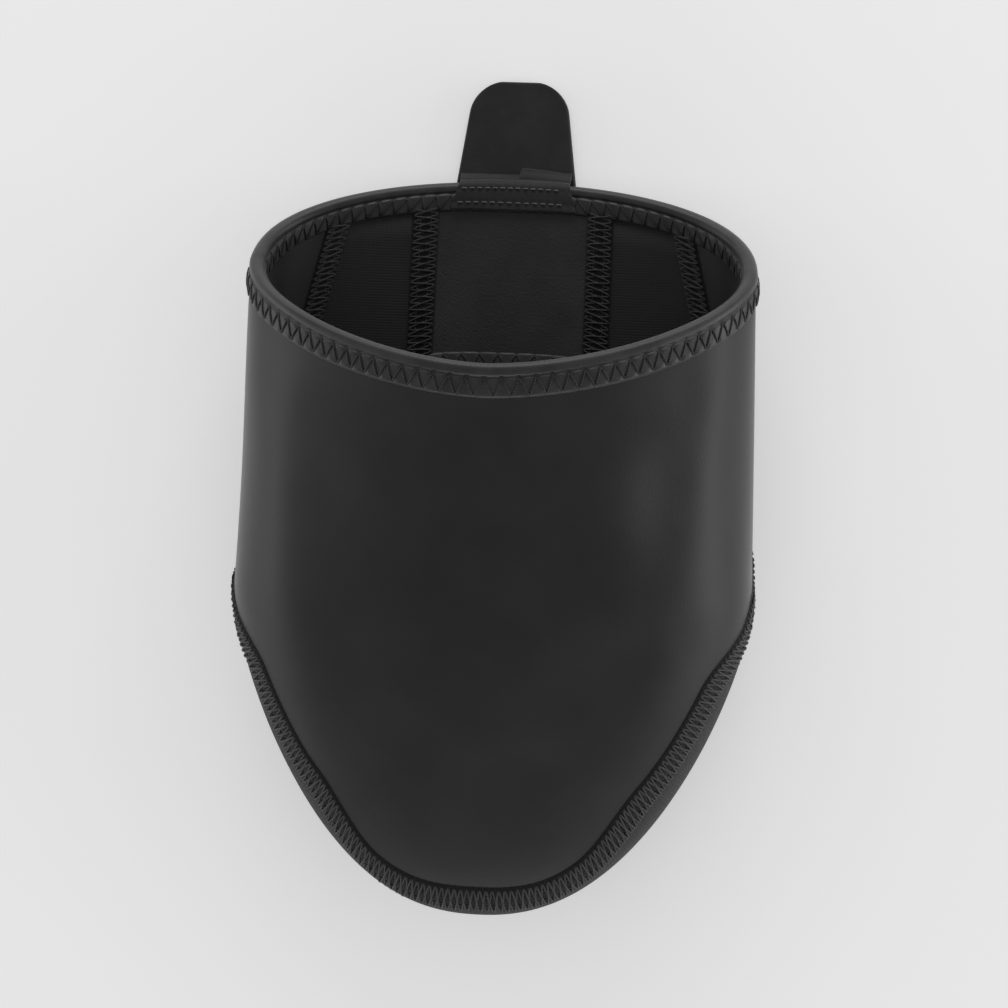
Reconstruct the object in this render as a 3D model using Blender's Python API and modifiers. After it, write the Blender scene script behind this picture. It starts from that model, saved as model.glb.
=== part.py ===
"""Cycling toe cover: a neoprene half overshoe, open at the collar and under the cleat.

Units are metres.  The toe points along -Y, the collar opens along +Y, +Z is up, and
the cover is symmetric about X = 0.  It stands empty on the floor plane Z = 0.

Every panel, seam and binding is cut from one surface, cover_point.  A station runs
from the toe tip (0) past the ball of the foot (1) to the collar (2).  At a station an
angle runs from the middle of the underside (-90 degrees) past the widest level (0)
to the middle of the top (90 degrees).
"""
import math

import bmesh
import bpy
import numpy as np
from mathutils import Vector

# Driving dimensions of the cover, measured outside
SOLE_LENGTH = 0.157
TOP_LENGTH = 0.113
BALL_DISTANCE = 0.068
BALL_WIDTH = 0.110
COLLAR_WIDTH = 0.1055
INSTEP_HEIGHT = 0.057
BALL_HEIGHT = 0.047
BALL_WIDEST_LEVEL = 0.014
COLLAR_WIDEST_LEVEL = 0.027
TOE_SPRING = 0.004
TOE_SPRING_LENGTH = 0.034
WALL = 0.0025

# Seams and bindings
SEAM_WIDTH = 0.0065
SEAM_PROUD = 0.0004
TOE_SEAM_WIDTH = 0.007
BINDING_WIDTH = 0.007
BINDING_PROUD = 0.0008
BINDING_ROUNDING = 0.0014
BAND_WIDTH = 0.031
BAND_TIP_WIDTH = 0.003
SEAM_TIP_WIDTH = 0.001
BAND_FULL_STATION = 0.88

# Cleat opening, inside its binding
CLEAT_FRONT = 0.053
CLEAT_LENGTH = 0.060
CLEAT_WIDTH = 0.057
CLEAT_FRONT_SHARE = 0.65
CLEAT_REAR_POWER = 3.2
FLOOR_RISE_SHARE = 0.35  # where beside the opening the underside starts to rise

# Strap, pull tab and size label
STRAP_WIDTH = 0.029
STRAP_THICKNESS = 0.0012
STRAP_ROUNDING = 0.0003
BRIDGE_SEAM_GAP = 0.0015
TAB_LENGTH = 0.0222
TAB_WIDTH = 0.0262
TAB_END_WIDTH = 0.020
TAB_CORNER = 0.006
TAB_THICKNESS = 0.0020
LABEL_WIDTH = 0.024
LABEL_LENGTH = 0.012
LABEL_TUCK = 0.004
LABEL_THICKNESS = 0.0005

# Clearances between neighbouring pieces
GAP = 0.0003
CURVED_GAP = 0.0004

# Form of the cross sections: station, power of the upper arch, power of the lower arch
SECTION_POWERS = {
    "station": (0.0, 0.5, 1.0, 1.4, 2.0),
    "upper": (2.3, 2.3, 2.35, 2.0, 1.65),
    "lower": (2.8, 4.0, 5.0, 4.0, 2.2),
}
# Sole seam: station, distance from the middle as a share of the outline
SOLE_SEAM = {
    "station": (0.0, 0.3, 0.6, 0.85, 1.0, 1.15, 1.3, 1.5, 2.0),
    "share": (0.950, 0.875, 0.850, 0.865, 0.88, 0.90, 0.89, 0.86, 0.70),
}
# Upper seam of the toe band: station, height over the sole seam as a share of the band
BAND_SEAM = {
    "station": (0.0, 0.3, 0.55, 0.8, 0.95, 1.05, 1.17, 1.27),
    "share": (0.56, 0.78, 0.98, 0.96, 0.66, 0.34, 0.0, 0.0),
}
# Plan outline ahead of the ball: share = (1 - u ** length power) ** (1 / width power)
OUTLINE_LENGTH_POWER = 1.3
OUTLINE_WIDTH_POWER = 2.25
OUTLINE_SOFTENING = 0.06

# How finely the surface is divided
FAN_STEPS = 17
REAR_STEPS = 12
ARCH_STEPS = 12
BAND_STEPS = 4
SOLE_STEPS = 4
SEAM_STEPS = 2
LAST_FREE_STATION = 0.86
RING_STEPS = 64

# Sizes worked out from the driving ones
HALF_BALL = BALL_WIDTH / 2
HALF_COLLAR = COLLAR_WIDTH / 2
REAR_LENGTH = SOLE_LENGTH - BALL_DISTANCE
FRONT_FLOOR = BINDING_PROUD
REAR_FLOOR = STRAP_THICKNESS + GAP + BINDING_PROUD
RIM_LEAN = (SOLE_LENGTH - TOP_LENGTH) / (INSTEP_HEIGHT - REAR_FLOOR)
BALL_TOP_REACH = REAR_LENGTH - RIM_LEAN * (BALL_HEIGHT - REAR_FLOOR)
TOP_SLOPE = (INSTEP_HEIGHT - BALL_HEIGHT) / BALL_TOP_REACH
TOE_Y = -(SOLE_LENGTH + GAP + TAB_LENGTH) / 2
BALL_Y = TOE_Y + BALL_DISTANCE
RIM_Y = TOE_Y + SOLE_LENGTH
CLEAT_WIDEST_Y = TOE_Y + CLEAT_FRONT + CLEAT_LENGTH * CLEAT_FRONT_SHARE
CLEAT_REAR_Y = TOE_Y + CLEAT_FRONT + CLEAT_LENGTH
BRIDGE_HALF = STRAP_WIDTH / 2 + BRIDGE_SEAM_GAP
HALF_PI = math.pi / 2


def smooth(share):
    """Ease from 0 to 1 with level ends."""
    share = np.clip(share, 0.0, 1.0)
    return share * share * (3 - 2 * share)


def table(rows, column, station):
    """Smooth curve through a table's rows: cubic pieces that never overshoot."""
    at = np.asarray(rows["station"], float)
    value = np.asarray(rows[column], float)
    gap = np.diff(at)
    slope = np.diff(value) / gap
    same_way = slope[:-1] * slope[1:] > 0
    mean = 2 * slope[:-1] * slope[1:] / np.where(same_way, slope[:-1] + slope[1:], 1.0)
    tangent = np.concatenate([[0.0], np.where(same_way, mean, 0.0), [slope[-1]]])
    station = np.clip(station, at[0], at[-1])
    i = np.clip(np.searchsorted(at, station) - 1, 0, gap.size - 1)
    t = (station - at[i]) / gap[i]
    return (value[i] * (1 + 2 * t) * (1 - t) ** 2 + tangent[i] * gap[i] * t * (1 - t) ** 2
            + value[i + 1] * t * t * (3 - 2 * t) - tangent[i + 1] * gap[i] * t * t * (1 - t))


def outline(u):
    """Half width of the plan outline as a share, u from the ball (0) to the toe tip (1)."""
    soft = np.sqrt(u * u + OUTLINE_SOFTENING ** 2) - OUTLINE_SOFTENING
    full = math.sqrt(1 + OUTLINE_SOFTENING ** 2) - OUTLINE_SOFTENING
    share = np.clip(soft / full, 0.0, 1.0)
    return (1 - share ** OUTLINE_LENGTH_POWER) ** (1 / OUTLINE_WIDTH_POWER)


def powers(station):
    """Powers of the upper and lower arch at a station."""
    return (table(SECTION_POWERS, "upper", station), table(SECTION_POWERS, "lower", station))


def floor_level(rear):
    """Level of the panels' underside: it rises behind the ball to pass over the strap."""
    start = (CLEAT_FRONT + CLEAT_LENGTH * FLOOR_RISE_SHARE - BALL_DISTANCE) / REAR_LENGTH
    end = (CLEAT_FRONT + CLEAT_LENGTH - BINDING_WIDTH / 2 - BALL_DISTANCE) / REAR_LENGTH
    return FRONT_FLOOR + (REAR_FLOOR - FRONT_FLOOR) * smooth((rear - start) / (end - start))


def half_width(station):
    """Half width of the outline behind the ball, and the reach of a fan line ahead of it."""
    rear = np.clip(station - 1, 0, 1)
    return HALF_BALL + (HALF_COLLAR - HALF_BALL) * rear


def cover_point(station, angle):
    """Outer surface for the half at +X.

    Ahead of the ball the sections fan about a vertical axis over the ball line, and
    behind it they are planes that lean back with the collar.  Each is two superellipse
    arches, one above and one below the widest level.
    """
    station, angle = np.broadcast_arrays(np.asarray(station, float), np.asarray(angle, float))
    upper_power, lower_power = powers(station)
    power = np.where(angle >= 0, upper_power, lower_power)
    reach = np.clip(np.cos(angle), 0, 1) ** (2 / power)
    lift = np.abs(np.sin(angle)) ** (2 / power)
    rear = np.clip(station - 1, 0, 1)
    widest = BALL_WIDEST_LEVEL + (COLLAR_WIDEST_LEVEL - BALL_WIDEST_LEVEL) * smooth(rear)
    top = BALL_HEIGHT + (INSTEP_HEIGHT - BALL_HEIGHT) * rear
    u = np.cos(HALF_PI * np.clip(station, 0, 1))
    ahead = np.where(station < 1, BALL_DISTANCE * u * reach, 0.0)
    rise = lift * (top - widest) - TOP_SLOPE * ahead * lift
    z = np.where(angle >= 0, widest + rise, widest - lift * (widest - floor_level(rear)))
    x = reach * np.where(station < 1, HALF_BALL * outline(u), half_width(station))
    y = BALL_Y - ahead + rear * (REAR_LENGTH - RIM_LEAN * (z - REAR_FLOOR))
    spring = np.clip(1 - (y - TOE_Y) / TOE_SPRING_LENGTH, 0, 1)
    return np.stack([x, y, z + TOE_SPRING * spring ** 2], axis=-1)


def cover_normal(station, angle):
    """Outward normal of cover_point, from small steps along both directions."""
    station, angle = np.broadcast_arrays(np.asarray(station, float), np.asarray(angle, float))
    step = 0.002
    centre = np.clip(angle, -HALF_PI + 2 * step, HALF_PI - 2 * step)
    low, high = np.clip(station - step, 0, 2), np.clip(station + step, 0, 2)
    along = cover_point(high, centre) - cover_point(low, centre)
    # at the toe tip the half surface is mirrored, so the step runs across X
    tip = station < step
    mirrored = cover_point(high, centre)
    mirrored[..., 0] *= -1
    along = np.where(tip[..., None], cover_point(high, centre) - mirrored, along)
    up = cover_point(station, centre + step) - cover_point(station, centre - step)
    normal = np.cross(along, up)
    middle = angle > HALF_PI - 2 * step
    slope = np.stack([np.zeros_like(station), -TOP_SLOPE * np.ones_like(station),
                      np.ones_like(station)], axis=-1)
    normal = np.where((middle & (station < 1))[..., None], slope, normal)
    on_centre = np.abs(angle) > HALF_PI - 2 * step
    normal[..., 0] = np.where(on_centre, 0.0, normal[..., 0])
    return normal / np.linalg.norm(normal, axis=-1, keepdims=True)


def seam_angle(station):
    """Angle of the sole seam's middle line."""
    return under_angle(station, table(SOLE_SEAM, "share", station))


def under_angle(station, share):
    """Angle below the widest level where the surface lies at a share of the outline."""
    _, lower_power = powers(station)
    return -np.arccos(np.clip(share, 0, 1) ** (lower_power / 2))


def walk(station, start_angle, distance):
    """Angle reached by walking a distance up the section from start_angle."""
    station, start_angle, distance = np.broadcast_arrays(station, start_angle, distance)
    angles = np.radians(np.linspace(-89.0, 90.0, 360))
    result = np.empty(station.shape)
    for index in np.ndindex(station.shape):
        line = cover_point(station[index], angles)
        steps = np.linalg.norm(np.diff(line, axis=0), axis=1)
        length = np.concatenate([[0.0], np.cumsum(steps)])
        start = np.interp(start_angle[index], angles, length)
        result[index] = np.interp(start + distance[index], length, angles)
    return result


def collar_stop(angle, clearance):
    """Station where a panel stops short of the collar binding."""
    step = 0.1
    near_collar = cover_point(2.0, angle) - cover_point(2.0 - step, angle)
    reach = np.linalg.norm(near_collar, axis=-1) / step
    return 2.0 - (BINDING_WIDTH + clearance) / reach


def cleat_half_width(y, grow):
    """Half width of the cleat opening at y, its outline grown by a distance."""
    front = CLEAT_LENGTH * CLEAT_FRONT_SHARE + grow
    back = CLEAT_LENGTH * (1 - CLEAT_FRONT_SHARE) + grow
    offset = y - CLEAT_WIDEST_Y
    share = np.where(offset < 0, -offset / front, offset / back)
    power = np.where(offset < 0, 2.0, CLEAT_REAR_POWER)
    inside = np.clip(1 - np.clip(share, 0, 1) ** power, 0, 1)
    return (CLEAT_WIDTH / 2 + grow) * inside ** (1 / power)


def remove_everything():
    for item in list(bpy.data.objects):
        bpy.data.objects.remove(item, do_unlink=True)


def material(name, colour, roughness):
    """Principled material with one colour."""
    made = bpy.data.materials.new(name)
    made.use_nodes = True
    shader = made.node_tree.nodes["Principled BSDF"]
    shader.inputs["Base Color"].default_value = (*colour, 1.0)
    shader.inputs["Roughness"].default_value = roughness
    shader.inputs["Metallic"].default_value = 0.0
    return made


def add_object(name, mesh, finish, collection):
    mesh.materials.append(finish)
    made = bpy.data.objects.new(name, mesh)
    collection.objects.link(made)
    mesh.shade_smooth()
    mesh.set_sharp_from_angle(angle=math.radians(40))
    return made


def closed_loft(name, sections, finish, collection, ring=False, meets_at_top=False):
    """Skin closed sections into one body: sections[i][j] is point j of section i.

    The ends are capped by strips between the two long sides, unless the sections
    come back to the first one.  Sections that meet their mirror images at the top
    leave out the strip there.
    """
    count, around, _ = sections.shape
    shape = bmesh.new()
    rows = [[shape.verts.new(Vector(point)) for point in section] for section in sections]
    for i in range(count if ring else count - 1):
        this, following = rows[i], rows[(i + 1) % count]
        for j in range(around):
            if meets_at_top and j == around // 2 - 1:
                continue
            k = (j + 1) % around
            shape.faces.new((this[j], this[k], following[k], following[j]))
    if not ring:
        for row in (rows[0], rows[-1]):
            half = around // 2
            for j in range(half - 1):
                shape.faces.new((row[j], row[j + 1], row[around - 2 - j], row[around - 1 - j]))
    bmesh.ops.remove_doubles(shape, verts=shape.verts, dist=0.00002)
    bmesh.ops.dissolve_degenerate(shape, edges=shape.edges, dist=0.00001)
    bmesh.ops.recalc_face_normals(shape, faces=shape.faces)
    mesh = bpy.data.meshes.new(name)
    shape.to_mesh(mesh)
    shape.free()
    return add_object(name, mesh, finish, collection)


def wall_sections(stations, angles, proud=0.0, depth=None, side=1):
    """Closed sections of a wall: out along the outer face and back along the inner one.

    stations and angles have one row for each section and one column for each point.
    """
    depth = WALL if depth is None else depth
    outer = cover_point(stations, angles)
    normal = cover_normal(stations, angles)
    both = np.concatenate([outer + normal * proud, (outer - normal * depth)[:, ::-1]], axis=1)
    both[..., 0] *= side
    return both


def wrap_stations(rear_stop=2.0):
    """Stations of one half, from the toe tip to rear_stop."""
    fan = np.linspace(0, 1, FAN_STEPS + 1)
    rear = np.linspace(1, rear_stop, REAR_STEPS + 1)[1:]
    return np.concatenate([fan, rear])


def both_halves(half):
    """Sections of the +X half, then the same ones mirrored, joined at the toe tip."""
    mirrored = half[1:][::-1].copy()
    mirrored[..., 0] *= -1
    return np.concatenate([mirrored, half])


def sole_seam_edge(station, distance):
    """Angle at a distance up the surface from the sole seam's middle line."""
    return walk(station, seam_angle(station), distance)


def band_height(station):
    """Distance along the surface from the sole seam to the band's upper seam."""
    return BAND_WIDTH * table(BAND_SEAM, "share", station)


def band_slant(station):
    """How much further a distance across the band's seam is when measured up the section."""
    step = 0.01
    before, after = station - step, station + step
    points = [cover_point(np.abs(at), seam_angle(np.abs(at))) for at in (before, after)]
    points[0][..., 0] *= np.where(before < 0, -1.0, 1.0)
    along = np.linalg.norm(points[1] - points[0], axis=-1)
    climb = band_height(after) - band_height(np.abs(before))
    return np.hypot(1.0, climb / along)


def stopped(stations, angles, clearance=GAP):
    """Shorten the rear stations so that the wall ends at the collar binding."""
    stop = collar_stop(angles, clearance)
    rear = np.clip(stations - 1, 0, 1)
    return np.where(stations > 1, 1 + rear * (stop - 1), stations)


def make_upper(finish, collection):
    """Top and sides in one wall, from the sole and band seams over the instep."""
    stations = wrap_stations()[:, None] * np.ones(ARCH_STEPS + 1)
    edge = SEAM_WIDTH / 2 + CURVED_GAP
    column = stations
    for _ in range(3):
        over_band = band_height(column[:, 0]) + edge * band_slant(column[:, 0])
        low = sole_seam_edge(column[:, 0], over_band)
        angles = low[:, None] + (HALF_PI - low[:, None]) * np.linspace(0, 1, ARCH_STEPS + 1)
        column = stopped(stations, angles)
    sections = both_halves(wall_sections(column, angles))
    return closed_loft("upper", sections, finish, collection, meets_at_top=True)


def band_room(station):
    """What is left for the band between the two seams, measured up the section."""
    edge = SEAM_WIDTH / 2 + CURVED_GAP
    return band_height(station) - edge * (1 + band_slant(station))


def band_seam_room(station):
    """What is left for the band's seam over the sole seam."""
    return band_height(station) + SEAM_WIDTH / 2 * (band_slant(station) - 1) - CURVED_GAP


def band_end(room, tip_width):
    """Last station where the room is wider than the tip that can be sewn."""
    stations = np.linspace(BAND_FULL_STATION, BAND_SEAM["station"][-2], 200)
    return float(stations[room(stations) > tip_width][-1])


def band_stations(end):
    """Stations of one half of the band, closer together where it tapers, up to its end."""
    full = np.linspace(0, BAND_FULL_STATION, FAN_STEPS - 2)
    band = band_end(band_room, BAND_TIP_WIDTH)
    seam = band_end(band_seam_room, SEAM_TIP_WIDTH)
    taper = np.concatenate([np.linspace(BAND_FULL_STATION, band, 8)[1:],
                            np.linspace(band, seam, 8)[1:]])
    every = np.concatenate([full, taper])
    return every[every < end + 0.001]


def make_toe_band(finish, collection):
    """Knit band round the toe, between the sole seam and its own upper seam."""
    edge = SEAM_WIDTH / 2 + CURVED_GAP
    half = band_stations(band_end(band_room, BAND_TIP_WIDTH))
    low = sole_seam_edge(half, edge)
    high = sole_seam_edge(half, band_height(half) - edge * band_slant(half))
    share = np.linspace(0, 1, BAND_STEPS + 1)
    angles = low[:, None] + (high - low)[:, None] * share
    sections = both_halves(wall_sections(half[:, None] * np.ones_like(angles), angles))
    return closed_loft("toe_band", sections, finish, collection)


def make_band_seam(finish, collection):
    """Flatlock seam over the toe band, running into the sole seam at both ends."""
    half = band_stations(band_end(band_seam_room, SEAM_TIP_WIDTH))
    reach = SEAM_WIDTH / 2 * band_slant(half)
    over_sole_seam = SEAM_WIDTH / 2 + CURVED_GAP
    low = sole_seam_edge(half, np.maximum(band_height(half) - reach, over_sole_seam))
    high = sole_seam_edge(half, band_height(half) + reach)
    angles = low[:, None] + (high - low)[:, None] * np.linspace(0, 1, SEAM_STEPS + 1)
    sections = wall_sections(half[:, None] * np.ones_like(angles), angles,
                             SEAM_PROUD, WALL + SEAM_PROUD)
    return closed_loft("band_seam", both_halves(sections), finish, collection)


def make_sole_seam(finish, collection):
    """Flatlock seam between sole and upper, from the collar round the toe and back."""
    stations = wrap_stations()[:, None] * np.ones(SEAM_STEPS + 1)
    reach = np.linspace(-SEAM_WIDTH / 2, SEAM_WIDTH / 2, SEAM_STEPS + 1)
    column = stations
    for _ in range(3):
        angles = sole_seam_edge(column, reach)
        column = stopped(stations, angles)
    sections = wall_sections(column, angles, SEAM_PROUD, WALL + SEAM_PROUD)
    return closed_loft("sole_seam", both_halves(sections), finish, collection)


def under_place(x, y):
    """Station and angle of the underside's point over a plan position, x >= 0."""
    x, y = np.broadcast_arrays(np.asarray(x, float), np.asarray(y, float))
    ahead = np.maximum(BALL_Y - y, 0.0)
    low, high = np.full(x.shape, 1e-6), np.ones(x.shape)
    for _ in range(40):
        u = (low + high) / 2
        outside = x * BALL_DISTANCE * u < ahead * HALF_BALL * outline(u)
        low, high = np.where(outside, u, low), np.where(outside, high, u)
    fan = np.arccos(np.clip(u, 0, 1)) / HALF_PI
    fan_share = np.hypot(x, ahead) / np.hypot(HALF_BALL * outline(u), BALL_DISTANCE * u)
    station = np.where(y < BALL_Y, fan, 1.0)
    for _ in range(6):
        share = np.where(y < BALL_Y, fan_share, x / half_width(station))
        angle = under_angle(station, share)
        z = cover_point(station, angle)[..., 2]
        rear = (y - BALL_Y) / (REAR_LENGTH - RIM_LEAN * (z - REAR_FLOOR))
        station = np.where(y < BALL_Y, fan, 1 + np.clip(rear, 0, 1))
    return station, angle


def cleat_rear_edge(x, grow):
    """How far back the outline of the cleat opening, grown by a distance, lies at x."""
    back = CLEAT_LENGTH * (1 - CLEAT_FRONT_SHARE) + grow
    share = np.abs(x) / (CLEAT_WIDTH / 2 + grow)
    return CLEAT_WIDEST_Y + back * (1 - share ** CLEAT_REAR_POWER) ** (1 / CLEAT_REAR_POWER)


def make_sole_half(side, name, finish, collection):
    """Grip fabric on one side of the underside, round the cleat opening to the collar."""
    edge = SEAM_WIDTH / 2 + CURVED_GAP
    grow = BINDING_WIDTH + CURVED_GAP
    first_x = TOE_SEAM_WIDTH / 2 + CURVED_GAP
    bridge_x = BRIDGE_HALF + SEAM_WIDTH + CURVED_GAP
    cleat_end = (CLEAT_REAR_Y + grow - BALL_Y) / REAR_LENGTH
    corner = cleat_end - CLEAT_WIDTH / 4 / REAR_LENGTH
    rear = np.concatenate([np.linspace(0, corner, 6)[1:], np.linspace(corner, cleat_end, 8)[1:],
                           np.linspace(cleat_end, LAST_FREE_STATION, 6)[1:], [1.0]])
    lines = np.concatenate([np.linspace(0, 1, FAN_STEPS + 1), 1 + rear])
    fine = np.linspace(0, 1, 400)
    widths = HALF_BALL * outline(np.cos(HALF_PI * fine))

    def place(share):
        """Station of every line where it crosses a share of the outline."""
        start = np.interp(first_x / share, widths, fine)
        fan = np.clip(lines[:, None], 0, 1)
        station = np.where(lines[:, None] <= 1, start + (1 - start) * fan, lines[:, None])
        stop = collar_stop(under_angle(station, share), CURVED_GAP)
        station = np.where(lines[:, None] == 2, stop, station)
        return station, under_angle(station, share)

    first_guess, nearest_middle = 0.9, 0.15
    outer = np.full((lines.size, 1), first_guess)
    for _ in range(6):
        station, _ = place(outer)
        angle = walk(station, seam_angle(station), -edge)
        outer = np.cos(angle) ** (2 / powers(station)[1])
    low, high = np.full(outer.shape, nearest_middle), outer.copy()
    for _ in range(40):
        middle = (low + high) / 2
        point = cover_point(*place(middle))
        bound = np.where(point[..., 1] > CLEAT_WIDEST_Y,
                         np.maximum(cleat_half_width(point[..., 1], grow), bridge_x),
                         cleat_half_width(point[..., 1], grow))
        inside = point[..., 0] < bound
        low, high = np.where(inside, middle, low), np.where(inside, high, middle)
    shares = high + (outer - high) * np.linspace(0, 1, SOLE_STEPS + 1)
    stations, angles = place(shares)
    return closed_loft(name, wall_sections(stations, angles, side=side), finish, collection)


def strip_along_foot(name, xs, starts, ends, steps, proud, finish, collection):
    """Wall strip under the foot: columns at xs, each from its start to its end along Y."""
    share = np.linspace(0, 1, steps + 1)[:, None]
    ys = starts + (ends - starts) * share
    station, angle = under_place(np.abs(xs) * np.ones_like(ys), ys)
    outer = cover_point(station, angle)
    normal = cover_normal(station, angle)
    mirror = np.where(xs < 0, -1.0, 1.0) * np.ones_like(ys)
    outer[..., 0] *= mirror
    normal[..., 0] *= mirror
    inner = outer - normal * (WALL + proud)
    sections = np.concatenate([outer + normal * proud, inner[:, ::-1]], axis=1)
    return closed_loft(name, sections, finish, collection)


def collar_edge_y(x, clearance):
    """Where a strip under the foot stops short of the collar binding at x."""
    angle = under_angle(2.0, np.abs(x) / HALF_COLLAR)
    for _ in range(3):
        stop = collar_stop(angle, clearance)
        angle = under_angle(stop, np.abs(x) / half_width(stop))
    return cover_point(stop, angle)[..., 1]


def make_bridge(panel_finish, seam_finish, collection):
    """Panel between cleat opening and collar, with a flatlock seam on each side."""
    grow = BINDING_WIDTH + CURVED_GAP
    half = BRIDGE_HALF - CURVED_GAP
    xs = np.linspace(-half, half, 7)
    strip_along_foot("bridge_panel", xs, cleat_rear_edge(xs, grow), collar_edge_y(xs, GAP),
                     6, 0.0, panel_finish, collection)
    for side, name in ((-1, "bridge_seam_left"), (1, "bridge_seam_right")):
        xs = np.sort(side * np.linspace(BRIDGE_HALF, BRIDGE_HALF + SEAM_WIDTH, SEAM_STEPS + 1))
        strip_along_foot(name, xs, cleat_rear_edge(xs, grow), collar_edge_y(xs, GAP),
                         6, SEAM_PROUD, seam_finish, collection)


def make_toe_seam(finish, collection):
    """Centre seam under the toe, from the cleat binding to the sole seam."""
    grow = BINDING_WIDTH + CURVED_GAP
    xs = np.linspace(-TOE_SEAM_WIDTH / 2, TOE_SEAM_WIDTH / 2, 2 * SEAM_STEPS + 1)
    front = CLEAT_LENGTH * CLEAT_FRONT_SHARE + grow
    starts = CLEAT_WIDEST_Y - front * np.sqrt(1 - (xs / (CLEAT_WIDTH / 2 + grow)) ** 2)
    toe_stations = 0.3
    fine = np.linspace(0, toe_stations, 60)
    edge = cover_point(fine, sole_seam_edge(fine, -SEAM_WIDTH / 2 - CURVED_GAP))
    ends = np.interp(np.abs(xs), edge[:, 0], edge[:, 1])
    strip_along_foot("toe_seam", xs, starts, ends, 8, SEAM_PROUD, finish, collection)


def binding_profile(width, proud, rounding):
    """Points of a soft binding's section: distance from its lip, height over the wall."""
    top, bottom = proud, -WALL - proud
    corner = rounding * (1 - math.sqrt(0.5))
    return np.array([
        (rounding, top), (width - rounding, top), (width, top - rounding),
        (width, bottom + rounding), (width - rounding, bottom), (rounding, bottom),
        (corner, bottom + corner), (0.0, bottom + rounding), (0.0, top - rounding),
        (corner, top - corner)])


def make_collar_binding(finish, collection):
    """Soft rolled binding round the collar."""
    fine = np.linspace(-HALF_PI, HALF_PI, 400)
    line = cover_point(2.0, fine)
    length = np.concatenate([[0], np.cumsum(np.linalg.norm(np.diff(line, axis=0), axis=1))])
    steps = np.linspace(0, length[-1], RING_STEPS // 2 + 1)
    angles = np.interp(steps, length, fine)
    lip = cover_point(2.0, angles)
    leg_station = 1.93  # about the binding's width ahead of its lip
    along = cover_point(leg_station, angles) - lip
    along /= np.linalg.norm(along, axis=-1, keepdims=True)
    normal = cover_normal(2.0, angles)
    profile = binding_profile(BINDING_WIDTH, BINDING_PROUD, BINDING_ROUNDING)
    half = (lip[:, None] + along[:, None] * profile[None, :, :1]
            + normal[:, None] * profile[None, :, 1:])
    mirrored = half[1:-1][::-1].copy()
    mirrored[..., 0] *= -1
    ring = np.concatenate([half, mirrored])
    return closed_loft("collar_binding", ring, finish, collection, ring=True)


def cleat_point(turn, grow):
    """Plan point of the cleat outline, turning from its rear (0) round to its front."""
    back = np.cos(turn) > 0
    power = np.where(back, CLEAT_REAR_POWER, 2.0)
    share = np.where(back, 1 - CLEAT_FRONT_SHARE, CLEAT_FRONT_SHARE)
    x = (CLEAT_WIDTH / 2 + grow) * np.abs(np.sin(turn)) ** (2 / power)
    y = (CLEAT_LENGTH * share + grow) * np.abs(np.cos(turn)) ** (2 / power)
    return x * np.sign(np.sin(turn)), CLEAT_WIDEST_Y + np.where(back, y, -y)


def make_cleat_binding(finish, collection):
    """Soft binding round the cleat opening."""
    turns = np.linspace(0, 2 * math.pi, RING_STEPS + 1)[:-1]
    inner_x, inner_y = cleat_point(turns, 0.0)
    outer_x, outer_y = cleat_point(turns, BINDING_WIDTH)
    profile = binding_profile(BINDING_WIDTH, BINDING_PROUD, BINDING_ROUNDING)
    share = profile[:, 0] / BINDING_WIDTH
    x = inner_x[:, None] + (outer_x - inner_x)[:, None] * share
    y = inner_y[:, None] + (outer_y - inner_y)[:, None] * share
    station, angle = under_place(np.abs(x), y)
    point = cover_point(station, angle)
    normal = cover_normal(station, angle)
    mirror = np.where(x < 0, -1.0, 1.0)
    point[..., 0] *= mirror
    normal[..., 0] *= mirror
    ring = point + normal * profile[None, :, 1:]
    return closed_loft("cleat_binding", ring, finish, collection, ring=True)


def add_box(name, low, high, rounding, finish, collection):
    """Box between two corners with its edges bevelled."""
    low, high = Vector(low), Vector(high)
    bpy.ops.mesh.primitive_cube_add(size=1.0)
    made = bpy.context.active_object
    made.name = name
    made.data.name = name
    for vertex in made.data.vertices:
        vertex.co = Vector(a * b for a, b in zip(vertex.co, high - low))
    made.location = (low + high) / 2
    bevel = made.modifiers.new("rounded edges", "BEVEL")
    bevel.width = rounding
    bevel.segments = 2
    made.data.materials.append(finish)
    for old in list(made.users_collection):
        old.objects.unlink(made)
    collection.objects.link(made)
    return made


def make_strap(finish, collection):
    """Woven strap on the outside of the bridge, flat on the floor."""
    low = (-STRAP_WIDTH / 2, CLEAT_REAR_Y, 0.0)
    high = (STRAP_WIDTH / 2, RIM_Y, STRAP_THICKNESS)
    return add_box("strap", low, high, STRAP_ROUNDING, finish, collection)


def tab_outline():
    """Half outline of the pull tab from its base to the middle of its rounded end."""
    lean = math.atan2((TAB_WIDTH - TAB_END_WIDTH) / 2, TAB_LENGTH)
    turn = np.linspace(-lean, -HALF_PI, 7)
    centre_y = RIM_Y + GAP + TAB_LENGTH - TAB_CORNER
    centre_x = TAB_END_WIDTH / 2 - TAB_CORNER
    corner = [(centre_x + TAB_CORNER * math.cos(a), centre_y - TAB_CORNER * math.sin(a))
              for a in turn]
    return [(TAB_WIDTH / 2, RIM_Y + GAP)] + corner


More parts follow.
